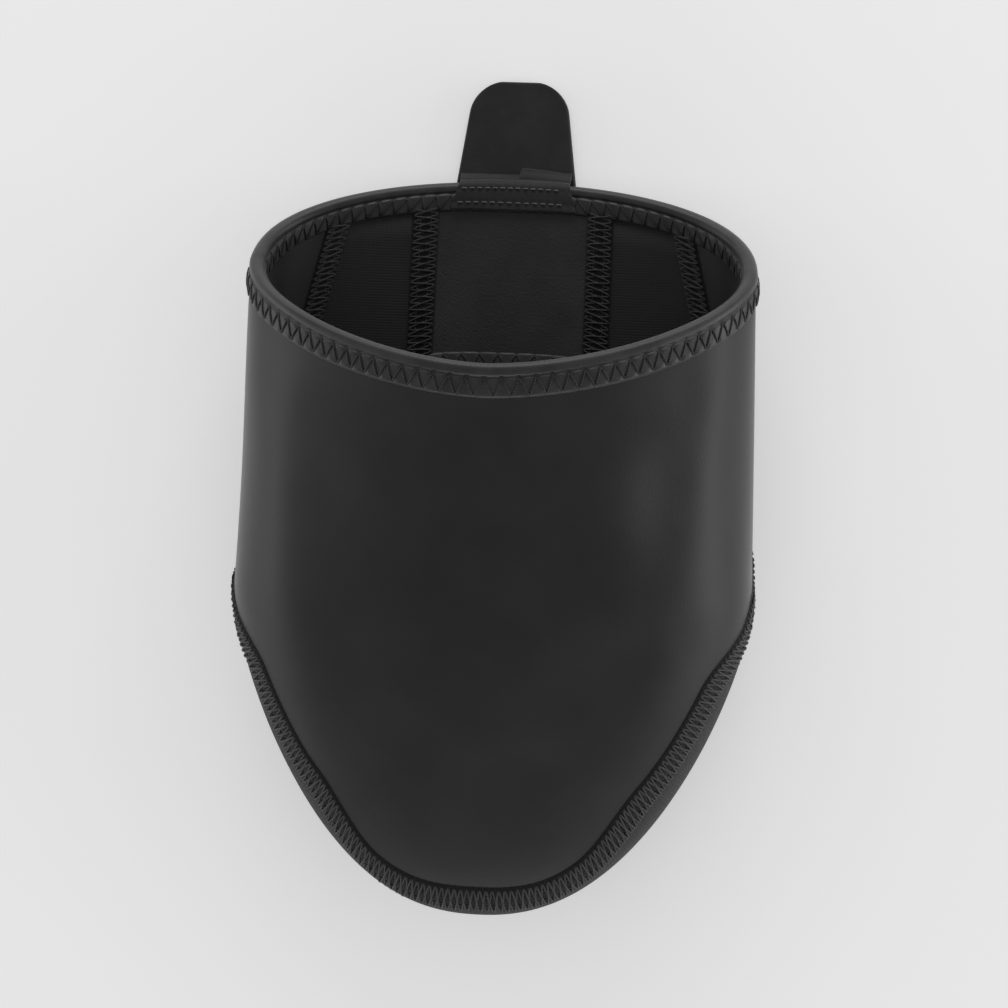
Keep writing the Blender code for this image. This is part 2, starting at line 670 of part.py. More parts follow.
def make_pull_tab(finish, collection):
    """Flat tab behind the collar, rounded at its free end."""
    right = tab_outline()
    outline_points = right + [(-x, y) for x, y in reversed(right)]
    curve = bpy.data.curves.new("pull_tab_outline", "CURVE")
    curve.dimensions = "2D"
    curve.fill_mode = "BOTH"
    curve.extrude = TAB_THICKNESS / 2
    spline = curve.splines.new("POLY")
    spline.points.add(len(outline_points) - 1)
    for point, (x, y) in zip(spline.points, outline_points):
        point.co = (x, y, 0.0, 1.0)
    spline.use_cyclic_u = True
    guide = bpy.data.objects.new("pull_tab_outline", curve)
    collection.objects.link(guide)
    bpy.context.view_layer.update()
    evaluated = guide.evaluated_get(bpy.context.evaluated_depsgraph_get())
    mesh = bpy.data.meshes.new_from_object(evaluated)
    bpy.data.objects.remove(guide, do_unlink=True)
    shape = bmesh.new()
    shape.from_mesh(mesh)
    bmesh.ops.remove_doubles(shape, verts=shape.verts, dist=0.00002)
    bmesh.ops.translate(shape, verts=shape.verts, vec=(0, 0, TAB_THICKNESS / 2))
    bmesh.ops.recalc_face_normals(shape, faces=shape.faces)
    shape.to_mesh(mesh)
    shape.free()
    mesh.materials.clear()
    return add_object("pull_tab", mesh, finish, collection)


def make_label(finish, collection):
    """Bare satin size label, tucked onto the inside of the cleat binding's rear."""
    level = REAR_FLOOR + WALL + BINDING_PROUD + GAP
    low = (-LABEL_WIDTH / 2, CLEAT_REAR_Y - LABEL_LENGTH, level)
    high = (LABEL_WIDTH / 2, CLEAT_REAR_Y + LABEL_TUCK, level + LABEL_THICKNESS)
    return add_box("size_label", low, high, LABEL_THICKNESS / 4, finish, collection)


def main():
    remove_everything()
    collection = bpy.data.collections.new("toe_cover")
    bpy.context.scene.collection.children.link(collection)
    neoprene = material("smooth_neoprene", (0.022, 0.022, 0.023), 0.55)
    knit = material("band_knit", (0.030, 0.030, 0.031), 0.80)
    grip = material("dotted_grip", (0.030, 0.030, 0.031), 0.50)
    thread = material("seam_thread", (0.020, 0.020, 0.021), 0.85)
    edging = material("binding", (0.036, 0.036, 0.037), 0.60)
    webbing = material("strap_webbing", (0.032, 0.032, 0.033), 0.85)
    satin = material("label_satin", (0.22, 0.22, 0.22), 0.45)

    make_upper(neoprene, collection)
    make_toe_band(knit, collection)
    make_sole_half(-1, "sole_left", grip, collection)
    make_sole_half(1, "sole_right", grip, collection)
    make_bridge(neoprene, thread, collection)
    make_sole_seam(thread, collection)
    make_band_seam(thread, collection)
    make_toe_seam(thread, collection)
    make_collar_binding(edging, collection)
    make_cleat_binding(edging, collection)
    make_strap(webbing, collection)
    make_pull_tab(webbing, collection)
    make_label(satin, collection)


main()
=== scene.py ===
# Cycling toe cover: every panel, seam, binding, strap and label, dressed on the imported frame.
# Metres, toe along -Y, collar along +Y, +Z up.  All panels lie on one surface, coverPoint.
import math

import bmesh
import bpy
import numpy as np
from mathutils import Matrix, Vector


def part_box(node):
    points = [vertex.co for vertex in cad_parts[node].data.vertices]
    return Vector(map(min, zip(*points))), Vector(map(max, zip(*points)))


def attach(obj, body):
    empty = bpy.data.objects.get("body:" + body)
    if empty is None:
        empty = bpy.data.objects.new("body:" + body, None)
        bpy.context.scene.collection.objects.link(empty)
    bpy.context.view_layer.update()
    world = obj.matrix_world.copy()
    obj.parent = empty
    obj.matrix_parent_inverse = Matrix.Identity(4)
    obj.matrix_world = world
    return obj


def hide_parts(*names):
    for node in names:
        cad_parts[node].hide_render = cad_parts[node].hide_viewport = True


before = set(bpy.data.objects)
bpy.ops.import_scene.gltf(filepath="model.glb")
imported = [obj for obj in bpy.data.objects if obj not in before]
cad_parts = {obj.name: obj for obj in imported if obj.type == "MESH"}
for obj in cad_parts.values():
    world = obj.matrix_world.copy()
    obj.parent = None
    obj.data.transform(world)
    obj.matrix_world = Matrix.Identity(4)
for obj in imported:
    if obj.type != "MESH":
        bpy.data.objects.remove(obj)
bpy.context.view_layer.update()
halfPi = math.pi / 2

# The cover's sizes, the same as the frame's
form = {
    "soleLength": 0.157,
    "topLength": 0.113,
    "tabLength": 0.0222,
    "ballDistance": 0.068,
    "ballWidth": 0.110,
    "collarWidth": 0.1055,
    "instepHeight": 0.057,
    "ballHeight": 0.047,
    "ballWidestLevel": 0.014,
    "collarWidestLevel": 0.027,
    "toeSpring": 0.004,
    "toeSpringLength": 0.034,
    "wall": 0.0025,
    "seamWidth": 0.0065,
    "toeSeamWidth": 0.007,
    "bindingWidth": 0.007,
    "bindingProud": 0.0008,
    "bandWidth": 0.031,
    "cleatFront": 0.053,
    "cleatLength": 0.060,
    "cleatWidth": 0.057,
    "cleatFrontShare": 0.65,
    "cleatRearPower": 3.2,
    "strapWidth": 0.029,
    "strapThickness": 0.0012,
    "bridgeSeamGap": 0.0015,
    "gap": 0.0003,
    "curvedGap": 0.0004,
    "lengthPower": 1.3,
    "widthPower": 2.25,
    "softening": 0.06,
}
# Tables along the foot: station 0 toe tip, 1 ball line, 2 collar
archTable = {
    "station": (0.0, 0.5, 1.0, 1.4, 2.0),
    "upper": (2.3, 2.3, 2.35, 2.0, 1.65),
    "lower": (2.8, 4.0, 5.0, 4.0, 2.2),
}
soleSeamTable = {
    "station": (0.0, 0.3, 0.6, 0.85, 1.0, 1.15, 1.3, 1.5, 2.0),
    "share": (0.950, 0.875, 0.850, 0.865, 0.88, 0.90, 0.89, 0.86, 0.70),
}
bandSeamTable = {
    "station": (0.0, 0.3, 0.55, 0.8, 0.95, 1.05, 1.17, 1.27),
    "share": (0.56, 0.78, 0.98, 0.96, 0.66, 0.34, 0.0, 0.0),
}

halfBall = form["ballWidth"] / 2
halfCollar = form["collarWidth"] / 2
rearLength = form["soleLength"] - form["ballDistance"]
frontFloor = form["bindingProud"]
rearFloor = form["strapThickness"] + form["gap"] + form["bindingProud"]
rimLean = (form["soleLength"] - form["topLength"]) / (form["instepHeight"] - rearFloor)
ballTopReach = rearLength - rimLean * (form["ballHeight"] - rearFloor)
topSlope = (form["instepHeight"] - form["ballHeight"]) / ballTopReach
toeY = -(form["soleLength"] + form["gap"] + form["tabLength"]) / 2
ballY = toeY + form["ballDistance"]
rimY = toeY + form["soleLength"]
cleatWidestY = toeY + form["cleatFront"] + form["cleatLength"] * form["cleatFrontShare"]
cleatRearY = toeY + form["cleatFront"] + form["cleatLength"]
bridgeHalf = form["strapWidth"] / 2 + form["bridgeSeamGap"]

# Soft creases: side, station and angle at both ends, depth in mm (a trough is minus), width in mm
creases = (
    (1, 1.74, 43, 0.92, 47, -0.85, 9.5),
    (1, 1.72, 62, 0.98, 61, 0.80, 8.0),
    (1, 1.95, 26, 0.55, 40, 0.90, 7.0),
    (-1, 1.95, 24, 0.60, 38, 0.75, 8.0),
    (1, 1.76, 84, 1.72, 40, -0.95, 7.5),
    (-1, 1.76, 84, 1.72, 34, -1.10, 8.0),
    (-1, 1.60, 50, 1.15, 62, -0.50, 9.0),
    (1, 0.90, 44, 0.55, 68, -0.45, 8.0),
    (1, 1.35, 86, 0.90, 76, 0.40, 12.0),
    (-1, 0.35, 52, 0.20, 74, -0.40, 7.0),
    (1, 0.30, 48, 0.16, 70, -0.40, 6.0),
)


# ---- the surface

# smoothShare = 3t^2 - 2t^3
def smoothShare(share):
    share = np.clip(share, 0.0, 1.0)
    return share * share * (3 - 2 * share)


# Cubic pieces through a table's rows, with slopes that never overshoot
def alongTable(rows, column, station):
    at = np.asarray(rows["station"], float)
    value = np.asarray(rows[column], float)
    gap = np.diff(at)
    slope = np.diff(value) / gap
    sameWay = slope[:-1] * slope[1:] > 0
    mean = 2 * slope[:-1] * slope[1:] / np.where(sameWay, slope[:-1] + slope[1:], 1.0)
    tangent = np.concatenate([[0.0], np.where(sameWay, mean, 0.0), [slope[-1]]])
    station = np.clip(station, at[0], at[-1])
    i = np.clip(np.searchsorted(at, station) - 1, 0, gap.size - 1)
    t = (station - at[i]) / gap[i]
    return (value[i] * (1 + 2 * t) * (1 - t) ** 2 + tangent[i] * gap[i] * t * (1 - t) ** 2
            + value[i + 1] * t * t * (3 - 2 * t) - tangent[i + 1] * gap[i] * t * t * (1 - t))


# Half width of the toe's outline = (1 - s^1.3)^(1/2.25), s a softened share from ball to toe
def outlineShare(u):
    softening = form["softening"]
    soft = np.sqrt(u * u + softening ** 2) - softening
    full = math.sqrt(1 + softening ** 2) - softening
    share = np.clip(soft / full, 0.0, 1.0)
    return (1 - share ** form["lengthPower"]) ** (1 / form["widthPower"])


def archPowers(station):
    return alongTable(archTable, "upper", station), alongTable(archTable, "lower", station)


# The underside rises behind the ball to pass over the strap
def floorLevel(rear):
    start = (form["cleatFront"] + form["cleatLength"] * 0.35 - form["ballDistance"]) / rearLength
    end = (form["cleatFront"] + form["cleatLength"] - form["bindingWidth"] / 2
           - form["ballDistance"]) / rearLength
    return frontFloor + (rearFloor - frontFloor) * smoothShare((rear - start) / (end - start))


def halfWidthAt(station):
    rear = np.clip(station - 1, 0, 1)
    return halfBall + (halfCollar - halfBall) * rear


# Two superellipse arches on the widest level: x = w cos(a)^(2/p), z = h sin(a)^(2/p), in sections
# that fan about the ball line ahead of it and lean back with the collar behind it
def coverPoint(station, angle):
    station, angle = np.broadcast_arrays(np.asarray(station, float), np.asarray(angle, float))
    upperPower, lowerPower = archPowers(station)
    power = np.where(angle >= 0, upperPower, lowerPower)
    reach = np.clip(np.cos(angle), 0, 1) ** (2 / power)
    lift = np.abs(np.sin(angle)) ** (2 / power)
    rear = np.clip(station - 1, 0, 1)
    widest = (form["ballWidestLevel"]
              + (form["collarWidestLevel"] - form["ballWidestLevel"]) * smoothShare(rear))
    top = form["ballHeight"] + (form["instepHeight"] - form["ballHeight"]) * rear
    u = np.cos(halfPi * np.clip(station, 0, 1))
    ahead = np.where(station < 1, form["ballDistance"] * u * reach, 0.0)
    rise = lift * (top - widest) - topSlope * ahead * lift
    z = np.where(angle >= 0, widest + rise, widest - lift * (widest - floorLevel(rear)))
    x = reach * np.where(station < 1, halfBall * outlineShare(u), halfWidthAt(station))
    y = ballY - ahead + rear * (rearLength - rimLean * (z - rearFloor))
    spring = np.clip(1 - (y - toeY) / form["toeSpringLength"], 0, 1)
    return np.stack([x, y, z + form["toeSpring"] * spring ** 2], axis=-1)


# Cross product of small steps along the station and the angle
def coverNormal(station, angle):
    station, angle = np.broadcast_arrays(np.asarray(station, float), np.asarray(angle, float))
    step = 0.002
    centre = np.clip(angle, -halfPi + 2 * step, halfPi - 2 * step)
    low, high = np.clip(station - step, 0, 2), np.clip(station + step, 0, 2)
    along = coverPoint(high, centre) - coverPoint(low, centre)
    mirrored = coverPoint(high, centre)
    mirrored[..., 0] *= -1
    along = np.where((station < step)[..., None], coverPoint(high, centre) - mirrored, along)
    normal = np.cross(along, coverPoint(station, centre + step) - coverPoint(station, centre - step))
    nearTop = (angle > halfPi - 2 * step) & (station < 1)
    slope = np.stack([np.zeros_like(station), -topSlope * np.ones_like(station),
                      np.ones_like(station)], axis=-1)
    normal = np.where(nearTop[..., None], slope, normal)
    normal[..., 0] = np.where(np.abs(angle) > halfPi - 2 * step, 0.0, normal[..., 0])
    return normal / np.linalg.norm(normal, axis=-1, keepdims=True)


# Sum over the creases of depth * exp(-(distance / width)^2), fading out at the ends
def creaseHeight(points):
    total = np.zeros(points.shape[:-1])
    for side, firstStation, firstAngle, lastStation, lastAngle, depth, width in creases:
        ends = coverPoint(np.array([firstStation, lastStation]),
                          np.radians([firstAngle, lastAngle]))
        ends[:, 0] *= side
        line = ends[1] - ends[0]
        share = np.clip(((points - ends[0]) @ line) / (line @ line), 0, 1)
        away = np.linalg.norm(points - ends[0] - share[..., None] * line, axis=-1)
        fade = 0.35 + 0.65 * np.sin(math.pi * np.clip(share, 0.12, 0.9)) ** 2
        total += 0.001 * depth * fade * np.exp(-(away / (0.001 * width)) ** 2)
    return total


# A place on the wall: side is +1 or -1, height is measured along the outward normal
def wallFrame(station, angle, side):
    point = coverPoint(station, angle)
    normal = coverNormal(station, angle)
    flip = np.broadcast_to(side, point.shape[:-1])
    point[..., 0] *= flip
    normal[..., 0] *= flip
    return point + normal * creaseHeight(point)[..., None], normal


# Row by row linear interpolation, done as one call by lifting each row above the last
def interpRows(x, known, value):
    known, value = np.broadcast_arrays(known, value)
    lift = np.arange(len(known))[:, None] * (known.max() - known.min() + 1.0)
    inside = np.clip(x, known[:, :1], known[:, -1:])
    return np.interp((inside + lift).ravel(), (known + lift).ravel(),
                     value.ravel()).reshape(inside.shape)


# Angles reached by walking distances up each station's section from its start angle
def walkUp(station, startAngle, distance):
    angles = np.radians(np.linspace(-89.0, 90.0, 500))
    line = coverPoint(station[:, None], angles[None])
    steps = np.linalg.norm(np.diff(line, axis=1), axis=-1)
    length = np.concatenate([np.zeros((len(station), 1)), np.cumsum(steps, axis=1)], axis=1)
    start = interpRows(startAngle[:, None], angles[None] * np.ones((len(station), 1)), length)
    return interpRows(start + distance, length, angles[None] * np.ones((len(station), 1)))


def underAngle(station, share):
    return -np.arccos(np.clip(share, 0, 1) ** (archPowers(station)[1] / 2))


def seamAngle(station):
    return underAngle(station, alongTable(soleSeamTable, "share", station))


def bandHeight(station):
    return form["bandWidth"] * alongTable(bandSeamTable, "share", station)


# How much longer a width across the slanting band seam is when measured up the section
def bandSlant(station):
    before, after = station - 0.01, station + 0.01
    first = coverPoint(np.abs(before), seamAngle(np.abs(before)))
    last = coverPoint(np.abs(after), seamAngle(np.abs(after)))
    first[..., 0] *= np.where(before < 0, -1.0, 1.0)
    climb = bandHeight(after) - bandHeight(np.abs(before))
    return np.hypot(1.0, climb / np.linalg.norm(last - first, axis=-1))


def collarStop(angle, clearance):
    reach = np.linalg.norm(coverPoint(2.0, angle) - coverPoint(1.9, angle), axis=-1) / 0.1
    return 2.0 - (form["bindingWidth"] + clearance) / reach


# Station and angle of the underside over a plan position, by halving the fan's range
def underPlace(x, y):
    x, y = np.broadcast_arrays(np.abs(np.asarray(x, float)), np.asarray(y, float))
    ahead = np.maximum(ballY - y, 0.0)
    low, high = np.full(x.shape, 1e-6), np.ones(x.shape)
    for _ in range(40):
        u = (low + high) / 2
        outside = x * form["ballDistance"] * u < ahead * halfBall * outlineShare(u)
        low, high = np.where(outside, u, low), np.where(outside, high, u)
    fan = np.arccos(np.clip(u, 0, 1)) / halfPi
    fanShare = np.hypot(x, ahead) / np.hypot(halfBall * outlineShare(u), form["ballDistance"] * u)
    station = np.where(y < ballY, fan, 1.0)
    for _ in range(6):
        share = np.where(y < ballY, fanShare, x / halfWidthAt(station))
        angle = underAngle(station, share)
        z = coverPoint(station, angle)[..., 2]
        rear = (y - ballY) / (rearLength - rimLean * (z - rearFloor))
        station = np.where(y < ballY, fan, 1 + np.clip(rear, 0, 1))
    return station, angle


def underFrame(x, y):
    station, angle = underPlace(x, y)
    return wallFrame(station, angle, np.where(x < 0, -1.0, 1.0) * np.ones_like(angle))


# ---- meshes from grids

def arcLength(points, axis):
    steps = np.linalg.norm(np.diff(points, axis=axis), axis=-1)
    start = np.zeros_like(np.take(steps, [0], axis=axis))
    return np.concatenate([start, np.cumsum(steps, axis=axis)], axis=axis)


def quadsOf(rows, columns):
    index = np.arange(rows * columns).reshape(rows, columns)
    return np.stack([index[:-1, :-1], index[:-1, 1:], index[1:, 1:], index[1:, :-1]],
                    axis=-1).reshape(-1, 4)


# Object from vertex, face and UV arrays: doubles merged, faces turned outwards
def addPiece(name, vertices, faces, uv, finish, weld=0.000008):
    mesh = bpy.data.meshes.new(name)
    mesh.from_pydata(vertices.reshape(-1, 3).tolist(), [], [list(face) for face in faces])
    layer = mesh.uv_layers.new(name="surface")
    corner = np.empty(len(mesh.loops), dtype=np.int32)
    mesh.loops.foreach_get("vertex_index", corner)
    layer.data.foreach_set("uv", uv.reshape(-1, 2)[corner].astype(np.float32).ravel())
    shape = bmesh.new()
    shape.from_mesh(mesh)
    if weld:
        bmesh.ops.remove_doubles(shape, verts=shape.verts, dist=weld)
        bmesh.ops.dissolve_degenerate(shape, edges=shape.edges, dist=weld / 4)
    bmesh.ops.recalc_face_normals(shape, faces=shape.faces)
    shape.to_mesh(mesh)
    shape.free()
    mesh.shade_smooth()
    mesh.materials.append(finish)
    piece = bpy.data.objects.new(name, mesh)
    bpy.context.scene.collection.objects.link(piece)
    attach(piece, "root")
    return piece


# Faces that look up take a second finish
def coverTop(piece, finish):
    piece.data.materials.append(finish)
    facing = np.empty(len(piece.data.polygons) * 3)
    piece.data.polygons.foreach_get("normal", facing)
    upward = (facing.reshape(-1, 3)[:, 2] > 0.3).astype(np.int32)
    piece.data.polygons.foreach_set("material_index", upward)


# Closed wall: rows of (outer columns, then inner columns back), both row ends closed
def wallPiece(name, outer, inner, uv, finish, openTop=False, ring=False):
    sections = np.concatenate([outer, inner[:, ::-1], outer[:, :1]], axis=1)
    uvs = np.concatenate([uv, uv[:, ::-1], uv[:, :1]], axis=1)
    rows, columns = sections.shape[:2]
    faces = quadsOf(rows, columns).reshape(rows - 1, columns - 1, 4)
    half = outer.shape[1]
    if openTop:
        faces = np.delete(faces, half - 1, axis=1)
    faces = faces.reshape(-1, 4)
    if not ring:
        j = np.arange(half - 1)
        lastColumn = 2 * half - 1
        for start in (0, (rows - 1) * columns):
            cap = np.stack([start + j, start + j + 1, start + lastColumn - 1 - j,
                            start + lastColumn - j], axis=-1)
            faces = np.concatenate([faces, cap])
    return addPiece(name, sections, faces, uvs, finish)


# Thread: a ring of points round each path point, drawn in to a point at both ends
def threadPiece(name, paths, normals, radius, finish, sides=6, flat=1.0):
    tangent = np.gradient(paths, axis=1)
    tangent /= np.linalg.norm(tangent, axis=-1, keepdims=True)
    across = np.cross(tangent, normals)
    across /= np.linalg.norm(across, axis=-1, keepdims=True)
    up = np.cross(across, tangent)
    turn = np.linspace(0, 2 * math.pi, sides + 1)
    size = np.full(paths.shape[1], radius)
    size[[0, -1]] = radius * 0.05
    ring = (across[:, :, None] * np.cos(turn)[:, None]
            + up[:, :, None] * (flat * np.sin(turn))[:, None]) * size[:, None, None]
    points = paths[:, :, None] + ring
    count, rows, columns = points.shape[:3]
    base = quadsOf(rows, columns)
    faces = (base[None] + (np.arange(count) * rows * columns)[:, None, None]).reshape(-1, 4)
    length = arcLength(paths, 1)
    uv = np.stack(np.broadcast_arrays(length[:, :, None], (turn * radius)[None, None]), axis=-1)
    return addPiece(name, points, faces, uv, finish, weld=radius * 0.02)


# A strip is a grid of places and normals: rows at known lengths, columns at shares -1 to 1
def makeStrip(points, normals, shares):
    middle = points[:, points.shape[1] // 2]
    return {"points": points, "normals": normals, "shares": shares,
            "length": arcLength(middle[None], 1)[0]}


# Bilinear place on a strip at a length, a share across and a height
def onStrip(strip, length, share, height):
    row = np.interp(length, strip["length"], np.arange(len(strip["length"])))
    column = np.interp(share, strip["shares"], np.arange(len(strip["shares"])))
    i = np.minimum(row.astype(int), len(strip["length"]) - 2)
    j = np.minimum(column.astype(int), len(strip["shares"]) - 2)
    s, t = (row - i)[..., None], (column - j)[..., None]
    mixed = []
    for grid in (strip["points"], strip["normals"]):
        mixed.append((grid[i, j] * (1 - s) + grid[i + 1, j] * s) * (1 - t)
                     + (grid[i, j + 1] * (1 - s) + grid[i + 1, j + 1] * s) * t)
    point, normal = mixed
    normal = normal / np.linalg.norm(normal, axis=-1, keepdims=True)
    return point + normal * np.asarray(height)[..., None], normal


# ---- finishes

# A shader socket in Python sums: each operator adds one Math node
class Value:
    def __init__(self, paint, node, output):
        self.paint = paint
        self.node = node
        self.socket = node.outputs[output]

    def out(self, output):
        return Value(self.paint, self.node, output)

    def math(self, operation, *values):
        return self.paint.add("ShaderNodeMath", {"operation": operation}, values)

    def __add__(self, other):
        return self.math("ADD", self, other)

    def __sub__(self, other):
        return self.math("SUBTRACT", self, other)

    def __rsub__(self, other):
        return self.math("SUBTRACT", other, self)

    def __mul__(self, other):
        return self.math("MULTIPLY", self, other)

    def __truediv__(self, other):
        return self.math("DIVIDE", self, other)

    def __pow__(self, other):
        return self.math("POWER", self, other)

    def __abs__(self):
        return self.math("ABSOLUTE", self)

    __radd__ = __add__
    __rmul__ = __mul__

    def sine(self):
        return self.math("SINE", self)

    def part(self):
        return self.math("FRACT", self)

    def above(self, low, high):
        return self.paint.add("ShaderNodeMapRange", {"interpolation_type": "SMOOTHSTEP"},
                              {"Value": self, "From Min": low, "From Max": high})


# One material: its tree, its Principled shader and the one method that adds any node
class Paint:
    def __init__(self, name, colour, roughness, **constants):
        self.material = bpy.data.materials.new(name)
        self.material.use_nodes = True
        self.tree = self.material.node_tree
        self.shader = self.tree.nodes["Principled BSDF"]
        self.shader.inputs["Base Color"].default_value = (*colour, 1.0)
        self.shader.inputs["Roughness"].default_value = roughness
        for key, value in constants.items():
            self.shader.inputs[key.replace("_", " ")].default_value = value

    def add(self, kind, settings, inputs, output=0):
        node = self.tree.nodes.new(kind)
        for key, value in settings.items():
            setattr(node, key, value)
        pairs = inputs.items() if isinstance(inputs, dict) else enumerate(inputs)
        for key, value in pairs:
            if isinstance(value, Value):
                self.tree.links.new(value.socket, node.inputs[key])
            else:
                node.inputs[key].default_value = value
        return Value(self, node, output)

    def place(self, source="Object"):
        return self.add("ShaderNodeTexCoord", {}, {}, source)

    def uv(self):
        split = self.add("ShaderNodeSeparateXYZ", {}, {"Vector": self.place("UV")}, "X")
        return split, split.out("Y")

    def noise(self, scale, detail=2.0, roughness=0.5, source="Object"):
        return self.add("ShaderNodeTexNoise", {},
                        {"Vector": self.place(source), "Scale": scale, "Detail": detail,
                         "Roughness": roughness}, "Fac")

    def mix(self, share, first, second):
        return self.add("ShaderNodeMix", {"data_type": "RGBA"},
                        {"Factor": share, 6: (*first, 1.0), 7: (*second, 1.0)}, 2)

    def feed(self, key, value):
        self.tree.links.new(value.socket, self.shader.inputs[key])

    def bump(self, height, distance, strength=1.0):
        self.feed("Normal", self.add("ShaderNodeBump", {},
                                     {"Height": height, "Distance": distance,
                                      "Strength": strength}, "Normal"))
        return self.material


neoprene = {
    "dark": (0.0190, 0.0190, 0.0195),
    "light": (0.0235, 0.0235, 0.0240),
    "roughness": 0.43,
    "grainScale": 2600.0,      # fine skin grain, per metre
    "mottleScale": 60.0,       # slow unevenness, per metre
    "grainDepth": 0.00005,
}


def neopreneFinish():
    paint = Paint("smoothNeoprene", neoprene["dark"], neoprene["roughness"],
                  Specular_IOR_Level=0.32, Sheen_Weight=0.26, Sheen_Roughness=0.35)
    mottle = paint.noise(neoprene["mottleScale"], 3.0)
    grain = paint.noise(neoprene["grainScale"], 2.0)
    paint.feed("Base Color", paint.mix(mottle.above(0.3, 0.7), neoprene["dark"],
                                       neoprene["light"]))
    paint.feed("Roughness", mottle * 0.10 + (neoprene["roughness"] - 0.05) + grain * 0.04)
    return paint.bump(grain * 0.6 + mottle * 2.0, neoprene["grainDepth"], 0.8)


knit = {
    # dark is painted shade in the knit's hollows, light a painted highlight on its crowns
    "dark": (0.007, 0.007, 0.007),
    "light": (0.040, 0.040, 0.042),
    "wale": 0.00095,           # width of one knit column
    "course": 0.00075,         # height of one knit row
    "depth": 0.00016,
}


# Knit: each column is a V of two slanting yarns, height = |sin| of the slanted row phase; the colour follows the
# height, painted shade in the hollows and a painted highlight on the crowns, with random patchy tone
def knitPaintedShadeFinish():
    paint = Paint("bandKnitPaintedShade", knit["dark"], 0.85, Specular_IOR_Level=0.25, Sheen_Weight=0.14,
                  Sheen_Roughness=0.5)
    along, across = paint.uv()
    column = (along / knit["wale"]).part()
    lean = abs(column - 0.5) * 1.1
    row = abs((across / knit["course"] * math.pi + lean * math.pi).sine())
    rib = 1.0 - abs(abs(column - 0.5) * 2.0 - 0.5) * 1.3
    height = row * rib
    patchy = paint.noise(420.0, 2.0)
    # painted shade and highlight: colour darkens into the knit's hollows and lightens on its crowns, plus random
    # patchy tone
    paint.feed("Base Color", paint.mix(height * 0.8 + patchy * 0.25, knit["dark"], knit["light"]))
    paint.feed("Roughness", 0.92 - height * 0.16)
    return paint.bump(height, knit["depth"])


grip = {
    # dark and light are painted shade and painted highlight on the weave
    "dark": (0.010, 0.010, 0.0105),
    "light": (0.024, 0.024, 0.025),
    "weave": 0.0006,
    "depth": 0.00006,
    "dotColour": (0.014, 0.014, 0.0145),
    "dotRoughness": 0.22,
}


# Grip fabric: the colour follows the weave's height, painted shade in its hollows, with random cloudy tone
def gripPaintedShadeFinish():
    paint = Paint("gripFabricPaintedShade", grip["dark"], 0.72, Specular_IOR_Level=0.4)
    along, across = paint.uv()
    height = abs((along / grip["weave"] * math.pi).sine() * (across / grip["weave"] * math.pi).sine())
    cloudy = paint.noise(90.0, 3.0)
    # painted shade: the weave's hollows darker and its raised yarn lighter, plus random cloudy tone
    paint.feed("Base Color", paint.mix(height * 0.5 + cloudy * 0.4, grip["dark"], grip["light"]))
    paint.feed("Roughness", 0.62 + height * 0.15)
    return paint.bump(height, grip["depth"])


def dotFinish():
    paint = Paint("gripDots", grip["dotColour"], grip["dotRoughness"], Specular_IOR_Level=0.55)
    rub = paint.noise(240.0, 2.0)
    paint.feed("Roughness", rub * 0.22 + (grip["dotRoughness"] - 0.08))
    return paint.bump(rub, 0.00002)


thread = {
    # dark is painted shade between the yarn's plies, light a painted highlight on them
    "dark": (0.011, 0.011, 0.011),
    "light": (0.054, 0.054, 0.055),
    "twist": 0.00055,          # length of one turn of the yarn
}


# Thread: the colour follows the ply twist, painted shade between the plies and a painted highlight on them;
# roughness and bump follow it too
def threadPaintedShadeFinish(name, dark, light, roughness=0.62):
    paint = Paint(name, dark, roughness, Specular_IOR_Level=0.4, Sheen_Weight=0.15)
    along, around = paint.uv()
    plyAndPaintedShade = (along * (2 * math.pi / thread["twist"]) + around * 14000.0).sine() * 0.5 + 0.5
    # painted shade and highlight along the twist
    paint.feed("Base Color", paint.mix(plyAndPaintedShade, dark, light))
    paint.feed("Roughness", plyAndPaintedShade * 0.12 + (roughness - 0.06))
    return paint.bump(plyAndPaintedShade, 0.00005)


tape = {
    "dark": (0.022, 0.022, 0.023),
    "light": (0.036, 0.036, 0.037),
    "roughness": 0.42,
}


def tapeFinish():
    paint = Paint("bindingTape", tape["dark"], tape["roughness"], Specular_IOR_Level=0.45,
                  Sheen_Weight=0.22, Sheen_Roughness=0.35)
    cloudy = paint.noise(170.0, 3.0)
    grain = paint.noise(3200.0, 2.0)
    paint.feed("Base Color", paint.mix(cloudy.above(0.3, 0.7), tape["dark"], tape["light"]))
    paint.feed("Roughness", cloudy * 0.14 + (tape["roughness"] - 0.07))
    return paint.bump(grain + cloudy * 1.5, 0.00003)


webbing = {
    # dark and light are painted shade and painted highlight on the ribs
    "dark": (0.010, 0.010, 0.0105),
    "light": (0.034, 0.034, 0.035),
    "rib": 0.0011,             # spacing of the ripple weave
    "depth": 0.00014,
}


# Ripple weave: short raised ribs, each row shifted half a rib against the last; the colour follows the rib height,
# painted shade between the ribs, plus random cloudy tone
def webbingFinish():
    paint = Paint("strapWebbingPaintedShade", webbing["dark"], 0.8, Specular_IOR_Level=0.35, Sheen_Weight=0.2)
    across, along = paint.uv()
    row = along / webbing["rib"]
    shift = (row * 0.5).math("FLOOR", row) * 0.5
    rib = (row * math.pi).sine()
    bead = ((across / webbing["rib"] * 0.6 + shift) * (2 * math.pi)).sine()
    height = abs(rib) * (bead * 0.3 + 0.7)
    cloudy = paint.noise(260.0, 3.0)
    # painted shade between the ribs: colour darkens with the rib height
    paint.feed("Base Color", paint.mix(height * 0.55 + cloudy * 0.35, webbing["dark"],
                                       webbing["light"]))
    paint.feed("Roughness", 0.86 - height * 0.12)
    return paint.bump(height, webbing["depth"])


